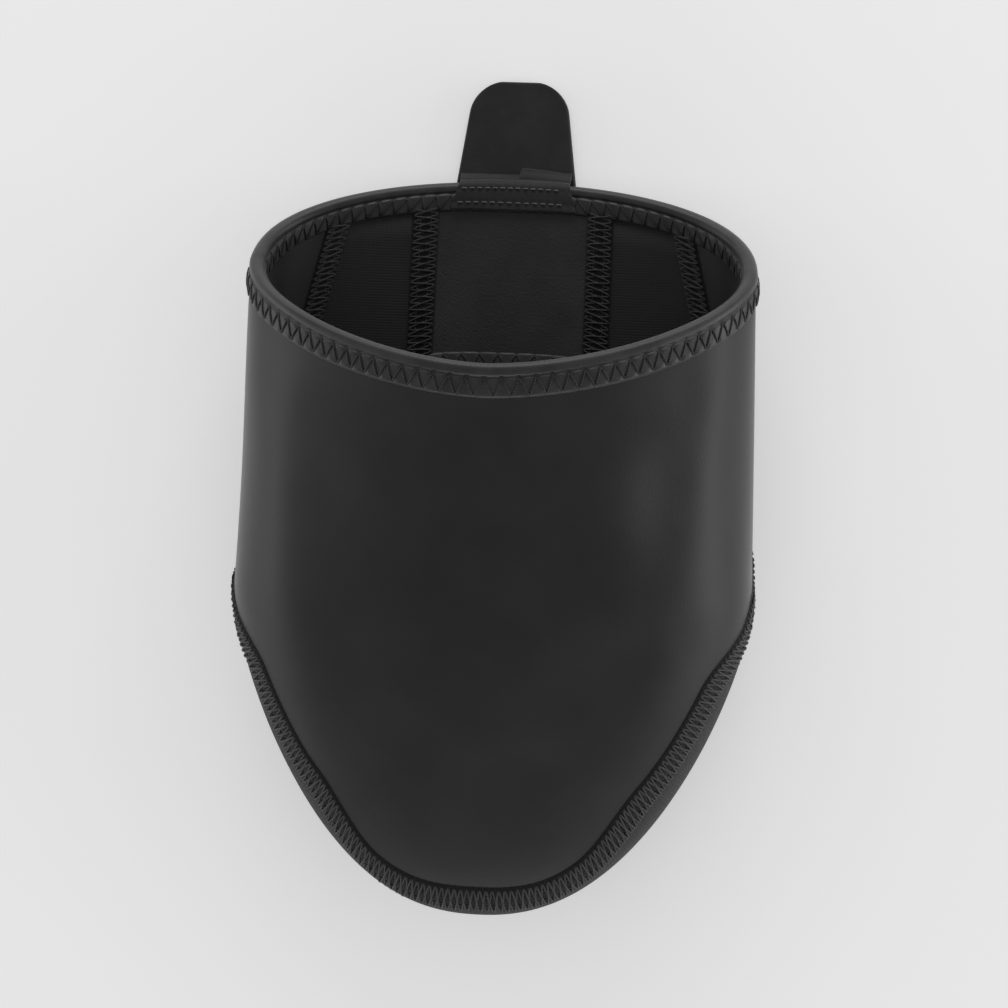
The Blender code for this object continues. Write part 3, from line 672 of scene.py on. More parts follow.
satin = {
    # dark and light are painted shade and painted highlight on the label's fine ribs
    "dark": (0.15, 0.15, 0.15),
    "light": (0.24, 0.24, 0.24),
    "rib": 0.00035,
}


# The tab's inner face is a smooth, slightly napped lining
lining = {
    "dark": (0.020, 0.020, 0.021),
    "light": (0.031, 0.031, 0.032),
}


def liningFinish():
    paint = Paint("tabLining", lining["dark"], 0.66, Specular_IOR_Level=0.3, Sheen_Weight=0.15,
                  Sheen_Roughness=0.4)
    cloudy = paint.noise(200.0, 3.0)
    nap = paint.noise(2400.0, 2.0)
    paint.feed("Base Color", paint.mix(cloudy.above(0.35, 0.65) * 0.6 + nap * 0.3,
                                       lining["dark"], lining["light"]))
    paint.feed("Roughness", cloudy * 0.12 + 0.60)
    return paint.bump(nap + cloudy, 0.00005)


# The bridge panel's inside is a napped lining whose colour is made lighter than the neoprene as painted light,
# with random nap and cloudy tone
liningPaintedLight = {
    "dark": (0.018, 0.018, 0.019),
    "light": (0.031, 0.031, 0.032),
}


def liningPaintedLightFinish():
    paint = Paint("bridgeLiningPaintedLight", liningPaintedLight["dark"], 0.58, Specular_IOR_Level=0.4,
                  Sheen_Weight=0.25, Sheen_Roughness=0.4)
    cloudy = paint.noise(75.0, 3.0)
    nap = paint.noise(1800.0, 3.0)
    # painted light: a lighter colour on the inside, plus random cloudy and nap tone
    paint.feed("Base Color", paint.mix(cloudy.above(0.35, 0.65) * 0.7 + nap * 0.3,
                                       liningPaintedLight["dark"], liningPaintedLight["light"]))
    paint.feed("Roughness", cloudy * 0.2 + 0.46)
    return paint.bump(nap + cloudy * 3.0, 0.00012)


# Satin label: the colour follows the fine ribs, painted shade between them and a painted highlight on them
def satinFinish():
    paint = Paint("labelSatinPaintedShade", satin["dark"], 0.38, Specular_IOR_Level=0.5, Sheen_Weight=0.2)
    across, along = paint.uv()
    rib = (along * (2 * math.pi / satin["rib"])).sine() * 0.5 + 0.5
    # painted shade: colour follows the rib height
    paint.feed("Base Color", paint.mix(rib, satin["dark"], satin["light"]))
    paint.feed("Roughness", rib * 0.1 + 0.34)
    return paint.bump(rib, 0.00003)


finishes = {
    "neoprene": neopreneFinish(),
    "knit": knitPaintedShadeFinish(),
    "grip": gripPaintedShadeFinish(),
    "dots": dotFinish(),
    "thread": threadPaintedShadeFinish("seamThreadPaintedShade", thread["dark"], thread["light"]),
    # the seam ribbon is near black: painted shade in the gaps between the cover threads
    "ribbon": threadPaintedShadeFinish("seamRibbonPaintedShade", (0.003, 0.003, 0.003), (0.009, 0.009, 0.0095), 0.85),
    "zigzag": threadPaintedShadeFinish("zigzagThreadPaintedShade", (0.004, 0.004, 0.004), (0.011, 0.011, 0.011), 0.5),
    "topstitch": threadPaintedShadeFinish("paleTopstitchPaintedShade", (0.08, 0.08, 0.08), (0.17, 0.17, 0.17)),
    "tape": tapeFinish(),
    "webbing": webbingFinish(),
    "lining": liningFinish(),
    "liningPaintedLight": liningPaintedLightFinish(),
    "satin": satinFinish(),
}
print("finishes made")


# ---- upper, toe band and sole

panel = {
    "fanRows": 100,
    "rearRows": 80,
    "archColumns": 64,
    "bandColumns": 26,
    "soleColumns": 30,
    "tuck": 0.0012,            # how far a panel's edge runs in under a seam or binding
}


def mirrorRows(grid, signFirst):
    mirrored = grid[1:][::-1].copy()
    if signFirst:
        mirrored[..., 0] *= -1
    return np.concatenate([mirrored, grid])


# Stations and angles of the +X half become both halves, joined at the toe tip
def bothHalves(stations, angles, proud=0.0, depth=None):
    depth = form["wall"] if depth is None else depth
    stations, angles = np.broadcast_arrays(stations, angles)
    side = np.concatenate([-np.ones(len(stations) - 1), np.ones(len(stations))])[:, None]
    station, angle = mirrorRows(stations, False), mirrorRows(angles, False)
    point, normal = wallFrame(station, angle, side)
    return point + normal * proud, point - normal * depth, point, normal


def surfaceUv(outer):
    middle = outer[:, outer.shape[1] // 2]
    length = arcLength(middle[None], 1)[0][:, None] * np.ones(outer.shape[1])
    return np.stack([length, arcLength(outer, 1)], axis=-1)


def stopAtCollar(stations, angles, clearance):
    stop = collarStop(angles, clearance)
    return np.where(stations > 1, 1 + np.clip(stations - 1, 0, 1) * (stop - 1), stations)


# The upper's share rises from its lower edge (0) to the middle of the top (1)
def makeUpper():
    fan = np.linspace(0, 1, panel["fanRows"] + 1)
    rear = np.linspace(1, 2, panel["rearRows"] + 1)[1:]
    stations = np.concatenate([fan, rear])[:, None] * np.ones(panel["archColumns"] + 1)
    edge = form["seamWidth"] / 2 - panel["tuck"]
    column = stations
    for _ in range(3):
        first = column[:, 0]
        rise = bandHeight(first) + edge * bandSlant(first)
        low = walkUp(first, seamAngle(first), rise[:, None])
        angles = low + (halfPi - low) * np.linspace(0, 1, panel["archColumns"] + 1)
        column = stopAtCollar(stations, angles, -2 * panel["tuck"])
    outer, inner, _, _ = bothHalves(column, angles)
    piece = wallPiece("smoothUpper", outer, inner, surfaceUv(outer), finishes["neoprene"],
                      openTop=True)
    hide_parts("upper")


def bandEnd(room, tipWidth):
    stations = np.linspace(0.88, bandSeamTable["station"][-2], 400)
    return float(stations[room(stations) > tipWidth][-1])


def makeBand():
    edge = form["seamWidth"] / 2 - panel["tuck"]
    end = bandEnd(lambda at: bandHeight(at) - edge * (1 + bandSlant(at)), 0.0012)
    half = np.linspace(0, end, 150)
    low = walkUp(half, seamAngle(half), np.full((len(half), 1), edge))
    high = walkUp(half, seamAngle(half), (bandHeight(half) - edge * bandSlant(half))[:, None])
    angles = low + (high - low) * np.linspace(0, 1, panel["bandColumns"])
    outer, inner, _, _ = bothHalves(half[:, None], angles)
    piece = wallPiece("knitBand", outer, inner, surfaceUv(outer), finishes["knit"])
    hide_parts("toe_band")


def cleatHalfWidth(y, grow):
    front = form["cleatLength"] * form["cleatFrontShare"] + grow
    back = form["cleatLength"] * (1 - form["cleatFrontShare"]) + grow
    offset = y - cleatWidestY
    share = np.where(offset < 0, -offset / front, offset / back)
    power = np.where(offset < 0, 2.0, form["cleatRearPower"])
    inside = np.clip(1 - np.clip(share, 0, 1) ** power, 0, 1)
    return (form["cleatWidth"] / 2 + grow) * inside ** (1 / power)


# Lines fan round the toe and run on to the collar; each goes from the cleat opening's binding
# (or the centre seam, or the bridge seam) out to the sole seam
def makeSoleHalf(side, name, node):
    edge = form["seamWidth"] / 2 - panel["tuck"]
    grow = form["bindingWidth"] - panel["tuck"]
    firstX = form["toeSeamWidth"] / 2 - panel["tuck"]
    bridgeX = bridgeHalf + form["seamWidth"] - panel["tuck"]
    cleatEnd = (cleatRearY + form["bindingWidth"] + form["curvedGap"] - ballY) / rearLength
    corner = cleatEnd - form["cleatWidth"] / 4 / rearLength
    rear = np.concatenate([np.linspace(0, corner, 24)[1:], np.linspace(corner, cleatEnd, 24)[1:],
                           np.linspace(cleatEnd, 0.86, 14)[1:], [1.0]])
    lines = np.concatenate([np.linspace(0, 1, 72), 1 + rear])
    fine = np.linspace(0, 1, 1200)
    widths = halfBall * outlineShare(np.cos(halfPi * fine))

    def placeAt(share):
        start = np.interp(firstX / share, widths, fine)
        fan = np.clip(lines[:, None], 0, 1)
        station = np.where(lines[:, None] <= 1, start + (1 - start) * fan, lines[:, None])
        stop = collarStop(underAngle(station, share), -2 * panel["tuck"])
        station = np.where(lines[:, None] == 2, stop, station)
        return station, underAngle(station, share)

    outerShare = np.full((lines.size, 1), 0.9)
    for _ in range(6):
        station, _ = placeAt(outerShare)
        angle = walkUp(station[:, 0], seamAngle(station[:, 0]), np.full((lines.size, 1), -edge))
        outerShare = np.cos(angle) ** (2 / archPowers(station)[1])
    low, high = np.full(outerShare.shape, 0.15), outerShare.copy()
    for _ in range(40):
        middle = (low + high) / 2
        point = coverPoint(*placeAt(middle))
        bound = cleatHalfWidth(point[..., 1], grow)
        bound = np.where(point[..., 1] > cleatWidestY, np.maximum(bound, bridgeX), bound)
        inside = point[..., 0] < bound
        low, high = np.where(inside, middle, low), np.where(inside, high, middle)
    shares = high + (outerShare - high) * np.linspace(0, 1, panel["soleColumns"])
    station, angle = placeAt(shares)
    point, normal = wallFrame(station, angle, side)
    uv = np.stack([point[..., 0], point[..., 1]], axis=-1)
    piece = wallPiece(name, point, point - normal * form["wall"], uv, finishes["grip"])
    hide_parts(node)


dots = {
    "pitch": 0.0018,
    "radius": 0.00046,
    "height": 0.00032,
}


# Staggered rows of small domes: ring, shoulder ring and top, kept where the fabric shows
def makeDots(side, name):
    xs = np.arange(0.004, 0.052, dots["pitch"])
    ys = np.arange(toeY, rimY, dots["pitch"] * math.sqrt(3) / 2)
    x, y = np.meshgrid(xs, ys)
    x = x + (np.arange(len(ys)) % 2)[:, None] * dots["pitch"] / 2
    x, y = x.ravel(), y.ravel()
    station, angle = underPlace(x, y)
    point = coverPoint(station, angle)
    away = walkUp(station, seamAngle(station), np.full((len(x), 1), -form["seamWidth"] / 2 - 0.0008))
    stop = collarStop(angle, 0.0008)
    keep = (angle < away[:, 0]) & (station < stop) & (x > form["toeSeamWidth"] / 2 + 0.0009)
    keep &= np.abs(point[:, 0] - x) < 0.0003
    inCleat = x < cleatHalfWidth(y, form["bindingWidth"] + 0.0009)
    inBridge = (y > cleatWidestY) & (x < bridgeHalf + form["seamWidth"] + 0.0009)
    keep &= ~inCleat & ~inBridge
    point, normal = wallFrame(station[keep], angle[keep], side)
    first = np.cross(normal, [0.0, 1.0, 0.0])
    first /= np.linalg.norm(first, axis=-1, keepdims=True)
    second = np.cross(normal, first)
    turn = np.arange(8) * math.pi / 4
    circle = (first[:, None] * np.cos(turn)[:, None] + second[:, None] * np.sin(turn)[:, None])
    low = point[:, None] + circle * dots["radius"] - normal[:, None] * 0.00006
    mid = point[:, None] + circle * dots["radius"] * 0.72 + normal[:, None] * dots["height"] * 0.72
    top = point[:, None] + normal[:, None] * dots["height"]
    base = point[:, None] - normal[:, None] * 0.00006
    vertices = np.concatenate([low, mid, top, base], axis=1)
    j = np.arange(8)
    k = (j + 1) % 8
    quads = np.stack([j, k, k + 8, j + 8], axis=-1)
    caps = np.concatenate([np.stack([j + 8, k + 8, np.full(8, 16)], axis=-1),
                           np.stack([k, j, np.full(8, 17)], axis=-1)])
    offsets = (np.arange(len(point)) * 18)[:, None, None]
    faces = (quads[None] + offsets).reshape(-1, 4).tolist() + (caps[None] + offsets).reshape(-1, 3).tolist()
    uv = vertices[..., :2]
    addPiece(name, vertices, faces, uv, finishes["dots"], weld=0)


makeUpper()
makeBand()
makeSoleHalf(-1, "gripSoleLeft", "sole_left")
makeSoleHalf(1, "gripSoleRight", "sole_right")
makeDots(-1, "gripDotsLeft")
makeDots(1, "gripDotsRight")
print("panels made")


# ---- flatlock seams

seam = {
    "rowSpacing": 0.0005,
    "columns": 19,
    "proud": 0.00042,          # middle of the ribbon over the wall
    "rib": 0.0018,             # one stitch along the seam
    "ribHeight": 0.00007,
    "grooveAt": 0.36,          # share of the half width
    "grooveDepth": 0.00020,
    "threadRadius": 0.00021,
    "weave": 0.0027,           # one turn of the two crossing cover threads
}


# Ribbon height = proud (1 - s^6) - grooves + ribs, s the share across
def ribbonHeight(share, length):
    groove = sum(np.exp(-((share - at) / 0.09) ** 2) for at in (-seam["grooveAt"], seam["grooveAt"]))
    rib = np.cos(2 * math.pi * length / seam["rib"]) * (1 - share ** 4)
    edge = np.clip(share ** 10, 0, 1)
    return (seam["proud"] * (1 - edge) - seam["grooveDepth"] * groove
            + seam["ribHeight"] * rib - 0.00035 * edge)


# Ribbon on a strip with its cover stitches and two rows of needle stitches, outside and inside
def makeSeam(strip, name, nodes):
    total = strip["length"][-1]
    shares = np.linspace(-1, 1, seam["columns"])
    lengths = np.linspace(0, total, max(6, int(total / seam["rowSpacing"])))
    length, share = np.meshgrid(lengths, shares, indexing="ij")
    height = ribbonHeight(share, length)
    outer, _ = onStrip(strip, length, share, height)
    inner, _ = onStrip(strip, length, share, -form["wall"] - height)
    uv = np.stack([length, share * form["seamWidth"] / 2], axis=-1)
    # the ribbon's near-black finish is painted shade between the threads
    ribbon = wallPiece(name, outer, inner, uv, finishes["ribbon"])
    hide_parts(*nodes)
    count = int(total / seam["rib"])
    turns = int(total / seam["weave"])
    phase = np.linspace(0, turns, turns * 14 + 1)
    wave = 2 * np.abs(phase % 1 - 0.5)
    strand = (2 * smoothShare(wave) - 1) * 0.80
    cross = np.stack([strand, -strand])
    over = np.array([[0.45], [-0.45]]) * seam["threadRadius"] * (1 - np.abs(cross))
    along = phase * total / turns * np.ones_like(cross)
    for sign, word in ((1, "Outside"), (-1, "Inside")):
        height = ribbonHeight(cross, along) + seam["threadRadius"] * 0.55 + over
        if sign < 0:
            height = -form["wall"] - height
        path, normal = onStrip(strip, along, cross, height)
        threadPiece(name + "Cover" + word, path, normal * sign,
                    seam["threadRadius"], finishes["thread"], sides=5)
        step = np.linspace(0.06, 0.94, 7)
        starts = np.arange(count)[:, None] + step[None]
        rows = []
        normals = []
        for at in (-seam["grooveAt"], seam["grooveAt"]):
            lift = ribbonHeight(np.full(starts.shape, at), starts * 0 + seam["rib"] / 2)
            lift = lift + 0.00026 * np.sin(math.pi * step) ** 0.7 - 0.00004
            if sign < 0:
                lift = -form["wall"] - lift
            path, normal = onStrip(strip, starts * total / count, np.full(starts.shape, at), lift)
            rows.append(path)
            normals.append(normal * sign)
        threadPiece(name + "Needle" + word, np.concatenate(rows), np.concatenate(normals),
                    seam["threadRadius"] * 0.95, finishes["thread"], sides=5)


# Signed stations at even lengths along a line: minus is the left half
def evenStations(lineAngle, end, spacing):
    fine = np.linspace(0, end, 1500)
    line = coverPoint(fine, lineAngle(fine))
    length = arcLength(line[None], 1)[0]
    count = int(length[-1] / spacing)
    half = np.interp(np.linspace(0, length[-1], count + 1), length, fine)
    return np.concatenate([-half[1:][::-1], half])


def makeSoleSeam():
    signed = evenStations(seamAngle, 2.0, 0.0008)
    shares = np.linspace(-1, 1, 13)
    reach = shares * form["seamWidth"] / 2
    base = np.abs(signed)[:, None] * np.ones(shares.size)
    column = base
    for _ in range(3):
        middle = column[:, shares.size // 2]
        angles = walkUp(middle, seamAngle(middle), reach[None] * np.ones((len(middle), 1)))
        column = stopAtCollar(base, angles, -panel["tuck"])
    point, normal = wallFrame(column, angles, np.where(signed < 0, -1.0, 1.0)[:, None])
    makeSeam(makeStrip(point, normal, shares), "soleSeam", ["sole_seam"])


def makeBandSeam():
    overSole = form["seamWidth"] / 2 - 0.0008
    lineAngle = lambda at: walkUp(at, seamAngle(at), bandHeight(at)[:, None])[:, 0]
    end = bandEnd(lambda at: bandHeight(at) + form["seamWidth"] / 2 * (bandSlant(at) - 1), 0.0008)
    signed = evenStations(lineAngle, end, 0.0008)
    half = np.abs(signed)
    reach = form["seamWidth"] / 2 * bandSlant(half) * 1.15
    low = walkUp(half, seamAngle(half), np.maximum(bandHeight(half) - reach, overSole)[:, None])
    high = walkUp(half, seamAngle(half), (bandHeight(half) + reach)[:, None])
    shares = np.linspace(-1, 1, 13)
    angles = low + (high - low) * (shares + 1) / 2
    point, normal = wallFrame(half[:, None] * np.ones(shares.size), angles,
                              np.where(signed < 0, -1.0, 1.0)[:, None])
    makeSeam(makeStrip(point, normal, shares), "bandSeam", ["band_seam"])


def collarEdgeY(x, clearance):
    angle = underAngle(2.0, np.abs(x) / halfCollar)
    for _ in range(3):
        stop = collarStop(angle, clearance)
        angle = underAngle(stop, np.abs(x) / halfWidthAt(stop))
    return coverPoint(stop, angle)[..., 1]


def cleatRearEdge(x, grow):
    back = form["cleatLength"] * (1 - form["cleatFrontShare"]) + grow
    share = np.abs(x) / (form["cleatWidth"] / 2 + grow)
    power = form["cleatRearPower"]
    return cleatWidestY + back * (1 - share ** power) ** (1 / power)


# Strip under the foot: columns at x, rows from start to end along Y
def underStrip(xs, starts, ends, rows):
    y = starts + (ends - starts) * np.linspace(0, 1, rows)[:, None]
    x = xs * np.ones_like(y)
    point, normal = underFrame(x, y)
    return makeStrip(point, normal, np.linspace(-1, 1, xs.size))


def makeBridge():
    grow = form["bindingWidth"] - 2 * panel["tuck"]
    half = bridgeHalf + panel["tuck"]
    xs = np.linspace(-half, half, 31)
    strip = underStrip(xs, cleatRearEdge(xs, grow), collarEdgeY(xs, -2 * panel["tuck"]), 40)
    point, normal = strip["points"], strip["normals"]
    rise = np.sin(math.pi * (strip["shares"] + 1) / 2) ** 0.5 * 0.0002
    inner = point - normal * (form["wall"] + rise[None, :, None])
    piece = wallPiece("bridgePanel", point, inner, surfaceUv(point), finishes["neoprene"])
    # the bridge panel's upward inside faces take the lighter lining: painted light on the inside
    coverTop(piece, finishes["liningPaintedLight"])
    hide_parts("bridge_panel")
    for side, name, node in ((-1, "bridgeSeamLeft", "bridge_seam_left"),
                             (1, "bridgeSeamRight", "bridge_seam_right")):
        xs = np.sort(side * np.linspace(bridgeHalf, bridgeHalf + form["seamWidth"], 9))
        strip = underStrip(xs, cleatRearEdge(xs, grow), collarEdgeY(xs, -panel["tuck"]), 40)
        makeSeam(strip, name, [node])


def makeToeSeam():
    grow = form["bindingWidth"] - panel["tuck"]
    xs = np.linspace(-form["toeSeamWidth"] / 2, form["toeSeamWidth"] / 2, 13)
    front = form["cleatLength"] * form["cleatFrontShare"] + grow
    starts = cleatWidestY - front * np.sqrt(1 - (xs / (form["cleatWidth"] / 2 + grow)) ** 2)
    fine = np.linspace(0, 0.3, 120)
    angles = walkUp(fine, seamAngle(fine), np.full((120, 1), panel["tuck"] - form["seamWidth"] / 2))
    edge = coverPoint(fine, angles[:, 0])
    ends = np.interp(np.abs(xs), edge[:, 0], edge[:, 1])
    makeSeam(underStrip(xs, starts, ends, 60), "toeSeam", ["toe_seam"])


makeSoleSeam()
makeBandSeam()
makeBridge()
makeToeSeam()
print("seams made")


# ---- bindings

binding = {
    "columns": 720,            # round the collar
    "lip": 0.0026,             # width of the plain rolled lip
    "lipThickness": 0.0033,
    "legHeight": 0.00056,      # stitched leg over the wall
    "stitch": 0.0033,          # one zigzag
    "stitchFrom": 0.0031,
    "stitchTo": 0.0063,
    "dimpleDepth": 0.00032,
    "dimpleSize": 0.0006,
    "threadRadius": 0.00021,
}


# Closed section of the folded tape: round lip, a step behind it, flat leg, rounded edge.
# Returns the distance from the lip and the height over the wall, outside first
def bindingSection():
    middle = -form["wall"] / 2
    half, nose = binding["lipThickness"] / 2, binding["lip"] * 0.62
    turn = np.linspace(halfPi, 3 * halfPi, 17)
    lip = np.stack([nose * (1 + np.cos(turn)), middle + half * np.sin(turn)], axis=-1)
    distance = np.linspace(nose, form["bindingWidth"], 36)[1:]
    edge = np.clip((distance - form["bindingWidth"] + 0.0009) / 0.0009, 0, 1)
    groove = np.exp(-((distance - binding["lip"]) / 0.00032) ** 2)
    leg = smoothShare((distance - binding["lip"]) / 0.0006)
    height = (middle + half + (binding["legHeight"] - middle - half) * leg
              - 0.00022 * groove - 0.0008 * edge ** 3)
    outer = np.stack([distance, height], axis=-1)[::-1]
    inner = np.stack([distance, -form["wall"] - height], axis=-1)
    return np.concatenate([outer, lip, inner])


# Sum of round dimples where the zigzag turns, at both edges of the stitched leg
def dimples(length, distance, total):
    count = round(total / binding["stitch"])
    pitch = total / count
    depth = 0.0
    for at, phase in ((binding["stitchFrom"], 0.0), (binding["stitchTo"], 0.5)):
        offset = ((length / pitch + phase + 0.5) % 1 - 0.5) * pitch
        depth = depth + np.exp(-(offset ** 2 + (distance - at) ** 2) / binding["dimpleSize"] ** 2)
    return depth * binding["dimpleDepth"]


# Ring of sections: place = lip + inward * distance + normal * height
def makeBinding(name, node, lip, inward, normal, stretch):
    total = arcLength(lip[None], 1)[0]
    section = bindingSection()
    distance, height = section[None, :, 0], section[None, :, 1]
    onFace = distance > binding["lip"] * 0.8
    middle = -form["wall"] / 2
    sink = dimples(total[:, None], distance, total[-1]) * onFace
    height = height - np.sign(height - middle) * sink
    points = lip[:, None] + inward[:, None] * (distance * stretch)[..., None] + normal[:, None] * height[..., None]
    rows, columns = points.shape[:2]
    sections = np.concatenate([points, points[:, :1]], axis=1)
    ringLength = np.concatenate([[0], np.cumsum(np.hypot(*np.diff(section, axis=0).T)), [0.0]])
    ringLength[-1] = ringLength[-2] + 0.002
    uv = np.stack(np.broadcast_arrays(total[:, None], ringLength[None]), axis=-1)
    piece = addPiece(name, sections, quadsOf(rows, columns + 1), uv, finishes["tape"],
                     weld=0.00002)
    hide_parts(node)
    count = round(total[-1] / binding["stitch"])
    phase = np.linspace(0, count, count * 12 + 1)
    wave = 1 - 2 * np.abs((phase + 0.5) % 1 - 0.5)
    spread = smoothShare(np.clip(1 - wave, 0, 1)) * 0.35 + np.clip(1 - wave, 0, 1) * 0.65
    across = binding["stitchFrom"] + (binding["stitchTo"] - binding["stitchFrom"]) * spread
    along = phase * total[-1] / count
    row = np.interp(along, total, np.arange(len(total)))
    i = np.minimum(row.astype(int), len(total) - 2)
    s = (row - i)[:, None]
    lips = lip[i] * (1 - s) + lip[i + 1] * s
    inwards = inward[i] * (1 - s) + inward[i + 1] * s
    normals = normal[i] * (1 - s) + normal[i + 1] * s
    level = binding["legHeight"] + binding["threadRadius"] * 0.5
    level = level - 0.75 * dimples(along, across, total[-1])
    for sign, word in ((1, "Outside"), (-1, "Inside")):
        height = level if sign > 0 else -form["wall"] - level
        path = lips + inwards * (across * stretch)[:, None] + normals * height[:, None]
        threadPiece(name + "Zigzag" + word, path[None], normals[None] * sign,
                    binding["threadRadius"], finishes["zigzag"], sides=6)


def makeCollarBinding():
    fine = np.linspace(-halfPi, halfPi, 1600)
    length = arcLength(coverPoint(2.0, fine)[None], 1)[0]
    half = np.interp(np.linspace(0, length[-1], binding["columns"] // 2 + 1), length, fine)
    angle = np.concatenate([half, half[::-1][1:]])
    side = np.concatenate([np.ones(half.size), -np.ones(half.size - 1)])
    lip, normal = wallFrame(2.0 * np.ones_like(angle), angle, side)
    far, _ = wallFrame(1.93 * np.ones_like(angle), angle, side)
    inward = far - lip
    inward /= np.linalg.norm(inward, axis=-1, keepdims=True)
    makeBinding("collarBinding", "collar_binding", lip, inward, normal, 1.0)


# Plan outline of the cleat opening: an ellipse at the front, a squarer arch at the rear
def cleatOutline(turn, grow):
    back = np.cos(turn) > 0
    power = np.where(back, form["cleatRearPower"], 2.0)
    share = np.where(back, 1 - form["cleatFrontShare"], form["cleatFrontShare"])
    x = (form["cleatWidth"] / 2 + grow) * np.abs(np.sin(turn)) ** (2 / power)
    y = (form["cleatLength"] * share + grow) * np.abs(np.cos(turn)) ** (2 / power)
    return x * np.sign(np.sin(turn)), cleatWidestY + np.where(back, y, -y)


def makeCleatBinding():
    fine = np.linspace(0, 2 * math.pi, 4001)
    line = np.stack(cleatOutline(fine, 0.0), axis=-1)
    turns = np.interp(np.linspace(0, 1, 521), arcLength(line[None], 1)[0] / arcLength(line[None], 1)[0][-1],
                      fine)
    innerX, innerY = cleatOutline(turns, 0.0)
    outerX, outerY = cleatOutline(turns, form["bindingWidth"])
    lip, normal = underFrame(innerX, innerY)
    far, farNormal = underFrame(outerX, outerY)
    inward = far - lip
    inward /= form["bindingWidth"]
    makeBinding("cleatBinding", "cleat_binding", lip, inward, normal, 1.0)


makeCollarBinding()
makeCleatBinding()
print("bindings made")


# ---- strap with pull tab, and size label

strap = {
    "halfWidth": 0.0145,
    "tabHalfWidth": 0.0131,
    "tabEndHalfWidth": 0.0094,
    "tabCorner": 0.0068,
    "tabThickness": 0.0017,
    "edgeRound": 0.0005,
    "stitch": 0.0024,          # one topstitch
    "stitchInset": 0.0019,
}


# Half width along the strap: straight under the foot, tapering past the rim to a round end
def strapHalfWidth(y):
    end = rimY + form["gap"] + form["tabLength"]
    share = np.clip((y - rimY) / (end - rimY), 0, 1)
    taper = strap["tabHalfWidth"] + (strap["tabEndHalfWidth"] + 0.0006 - strap["tabHalfWidth"]) * share
    width = np.where(y < rimY - 0.0006, strap["halfWidth"], taper)
    inset = np.clip(y - (end - strap["tabCorner"]), 0, strap["tabCorner"])
    corner = strap["tabCorner"] - np.sqrt(np.maximum(strap["tabCorner"] ** 2 - inset ** 2, 0))
    return width - corner


# Slab of strap: the top and bottom faces meet in a round edge, and it thickens behind the rim
def makeStrap():
    end = rimY + form["gap"] + form["tabLength"]
    corner = end - strap["tabCorner"] * (1 - np.sin(np.linspace(0, halfPi, 16)))
    y = np.concatenate([np.linspace(cleatRearY + 0.0002, rimY - 0.0008, 60),
                        np.linspace(rimY - 0.0004, corner[0], 30)[:-1], corner])
    share = np.sin(np.linspace(-halfPi, halfPi, 41))
    half = strapHalfWidth(y)[:, None]
    x = half * share
    behind = smoothShare((y - rimY + 0.002) / 0.003)[:, None]
    thick = form["strapThickness"] + (strap["tabThickness"] - form["strapThickness"]) * behind
    away = np.minimum(half - np.abs(x), (end - y)[:, None])
    round_ = np.sqrt(np.clip(1 - (1 - np.clip(away / strap["edgeRound"], 0, 1)) ** 2, 0, 1))
    curl = 0.0022 * smoothShare((y - rimY - 0.004) / 0.02)[:, None] * (share ** 2 * 0.5)
    lift = 0.00025 * behind
    low = thick / 2 * (1 - round_) + lift * 0 + curl * 0
    high = thick / 2 * (1 + round_)
    bottom = np.stack([x, y[:, None] * np.ones_like(x), low], axis=-1)
    top = np.stack([x, y[:, None] * np.ones_like(x), high], axis=-1)
    uv = np.stack([x, y[:, None] * np.ones_like(x)], axis=-1)
    piece = wallPiece("strapAndTab", bottom, top, uv, finishes["webbing"])
    coverTop(piece, finishes["lining"])
    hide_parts("strap", "pull_tab")


# Rows of topstitches along a line, each a low arch over the cloth
def stitchRow(name, start, finish, normal, stitch, material, radius=0.00017, gapShare=0.28):
    start, finish, normal = (np.asarray(item, float) for item in (start, finish, normal))
    length = np.linalg.norm(finish - start)
    count = max(1, round(length / stitch))
    step = np.linspace(0, 1 - gapShare, 7)
    share = (np.arange(count)[:, None] + step[None]) / count
    arch = np.sin(math.pi * step / (1 - gapShare)) ** 0.6 * radius * 1.3 - radius * 0.6
    path = start + (finish - start) * share[..., None] + normal * arch[None, :, None]
    threadPiece(name, path, np.broadcast_to(normal, path.shape), radius, material,
                sides=6)


def makeTopstitches():
    inset = strap["stitchInset"]
    left, right = -strap["halfWidth"] + inset, strap["halfWidth"] - inset
    front = cleatRearY + inset
    rows = (("strapStitchLeft", (left, front, 0.0), (left, rimY - 0.003, 0.0)),
            ("strapStitchRight", (right, front, 0.0), (right, rimY - 0.003, 0.0)),
            ("strapStitchFront", (left, front, 0.0), (right, front, 0.0)),
            ("strapStitchRim", (left, rimY - 0.0062, 0.0), (right, rimY - 0.0062, 0.0)))
    for name, start, finish in rows:
        stitchRow(name, start, finish, (0, 0, -1), strap["stitch"], finishes["topstitch"])


patch = {
    "halfWidth": 0.0122,
    "depth": 0.0063,           # how far it reaches in from the collar's lip
    "thickness": 0.0004,
    "stitchRows": (0.0016, 0.0048),
    "stitch": 0.0017,
    "pucker": 0.00018,
}


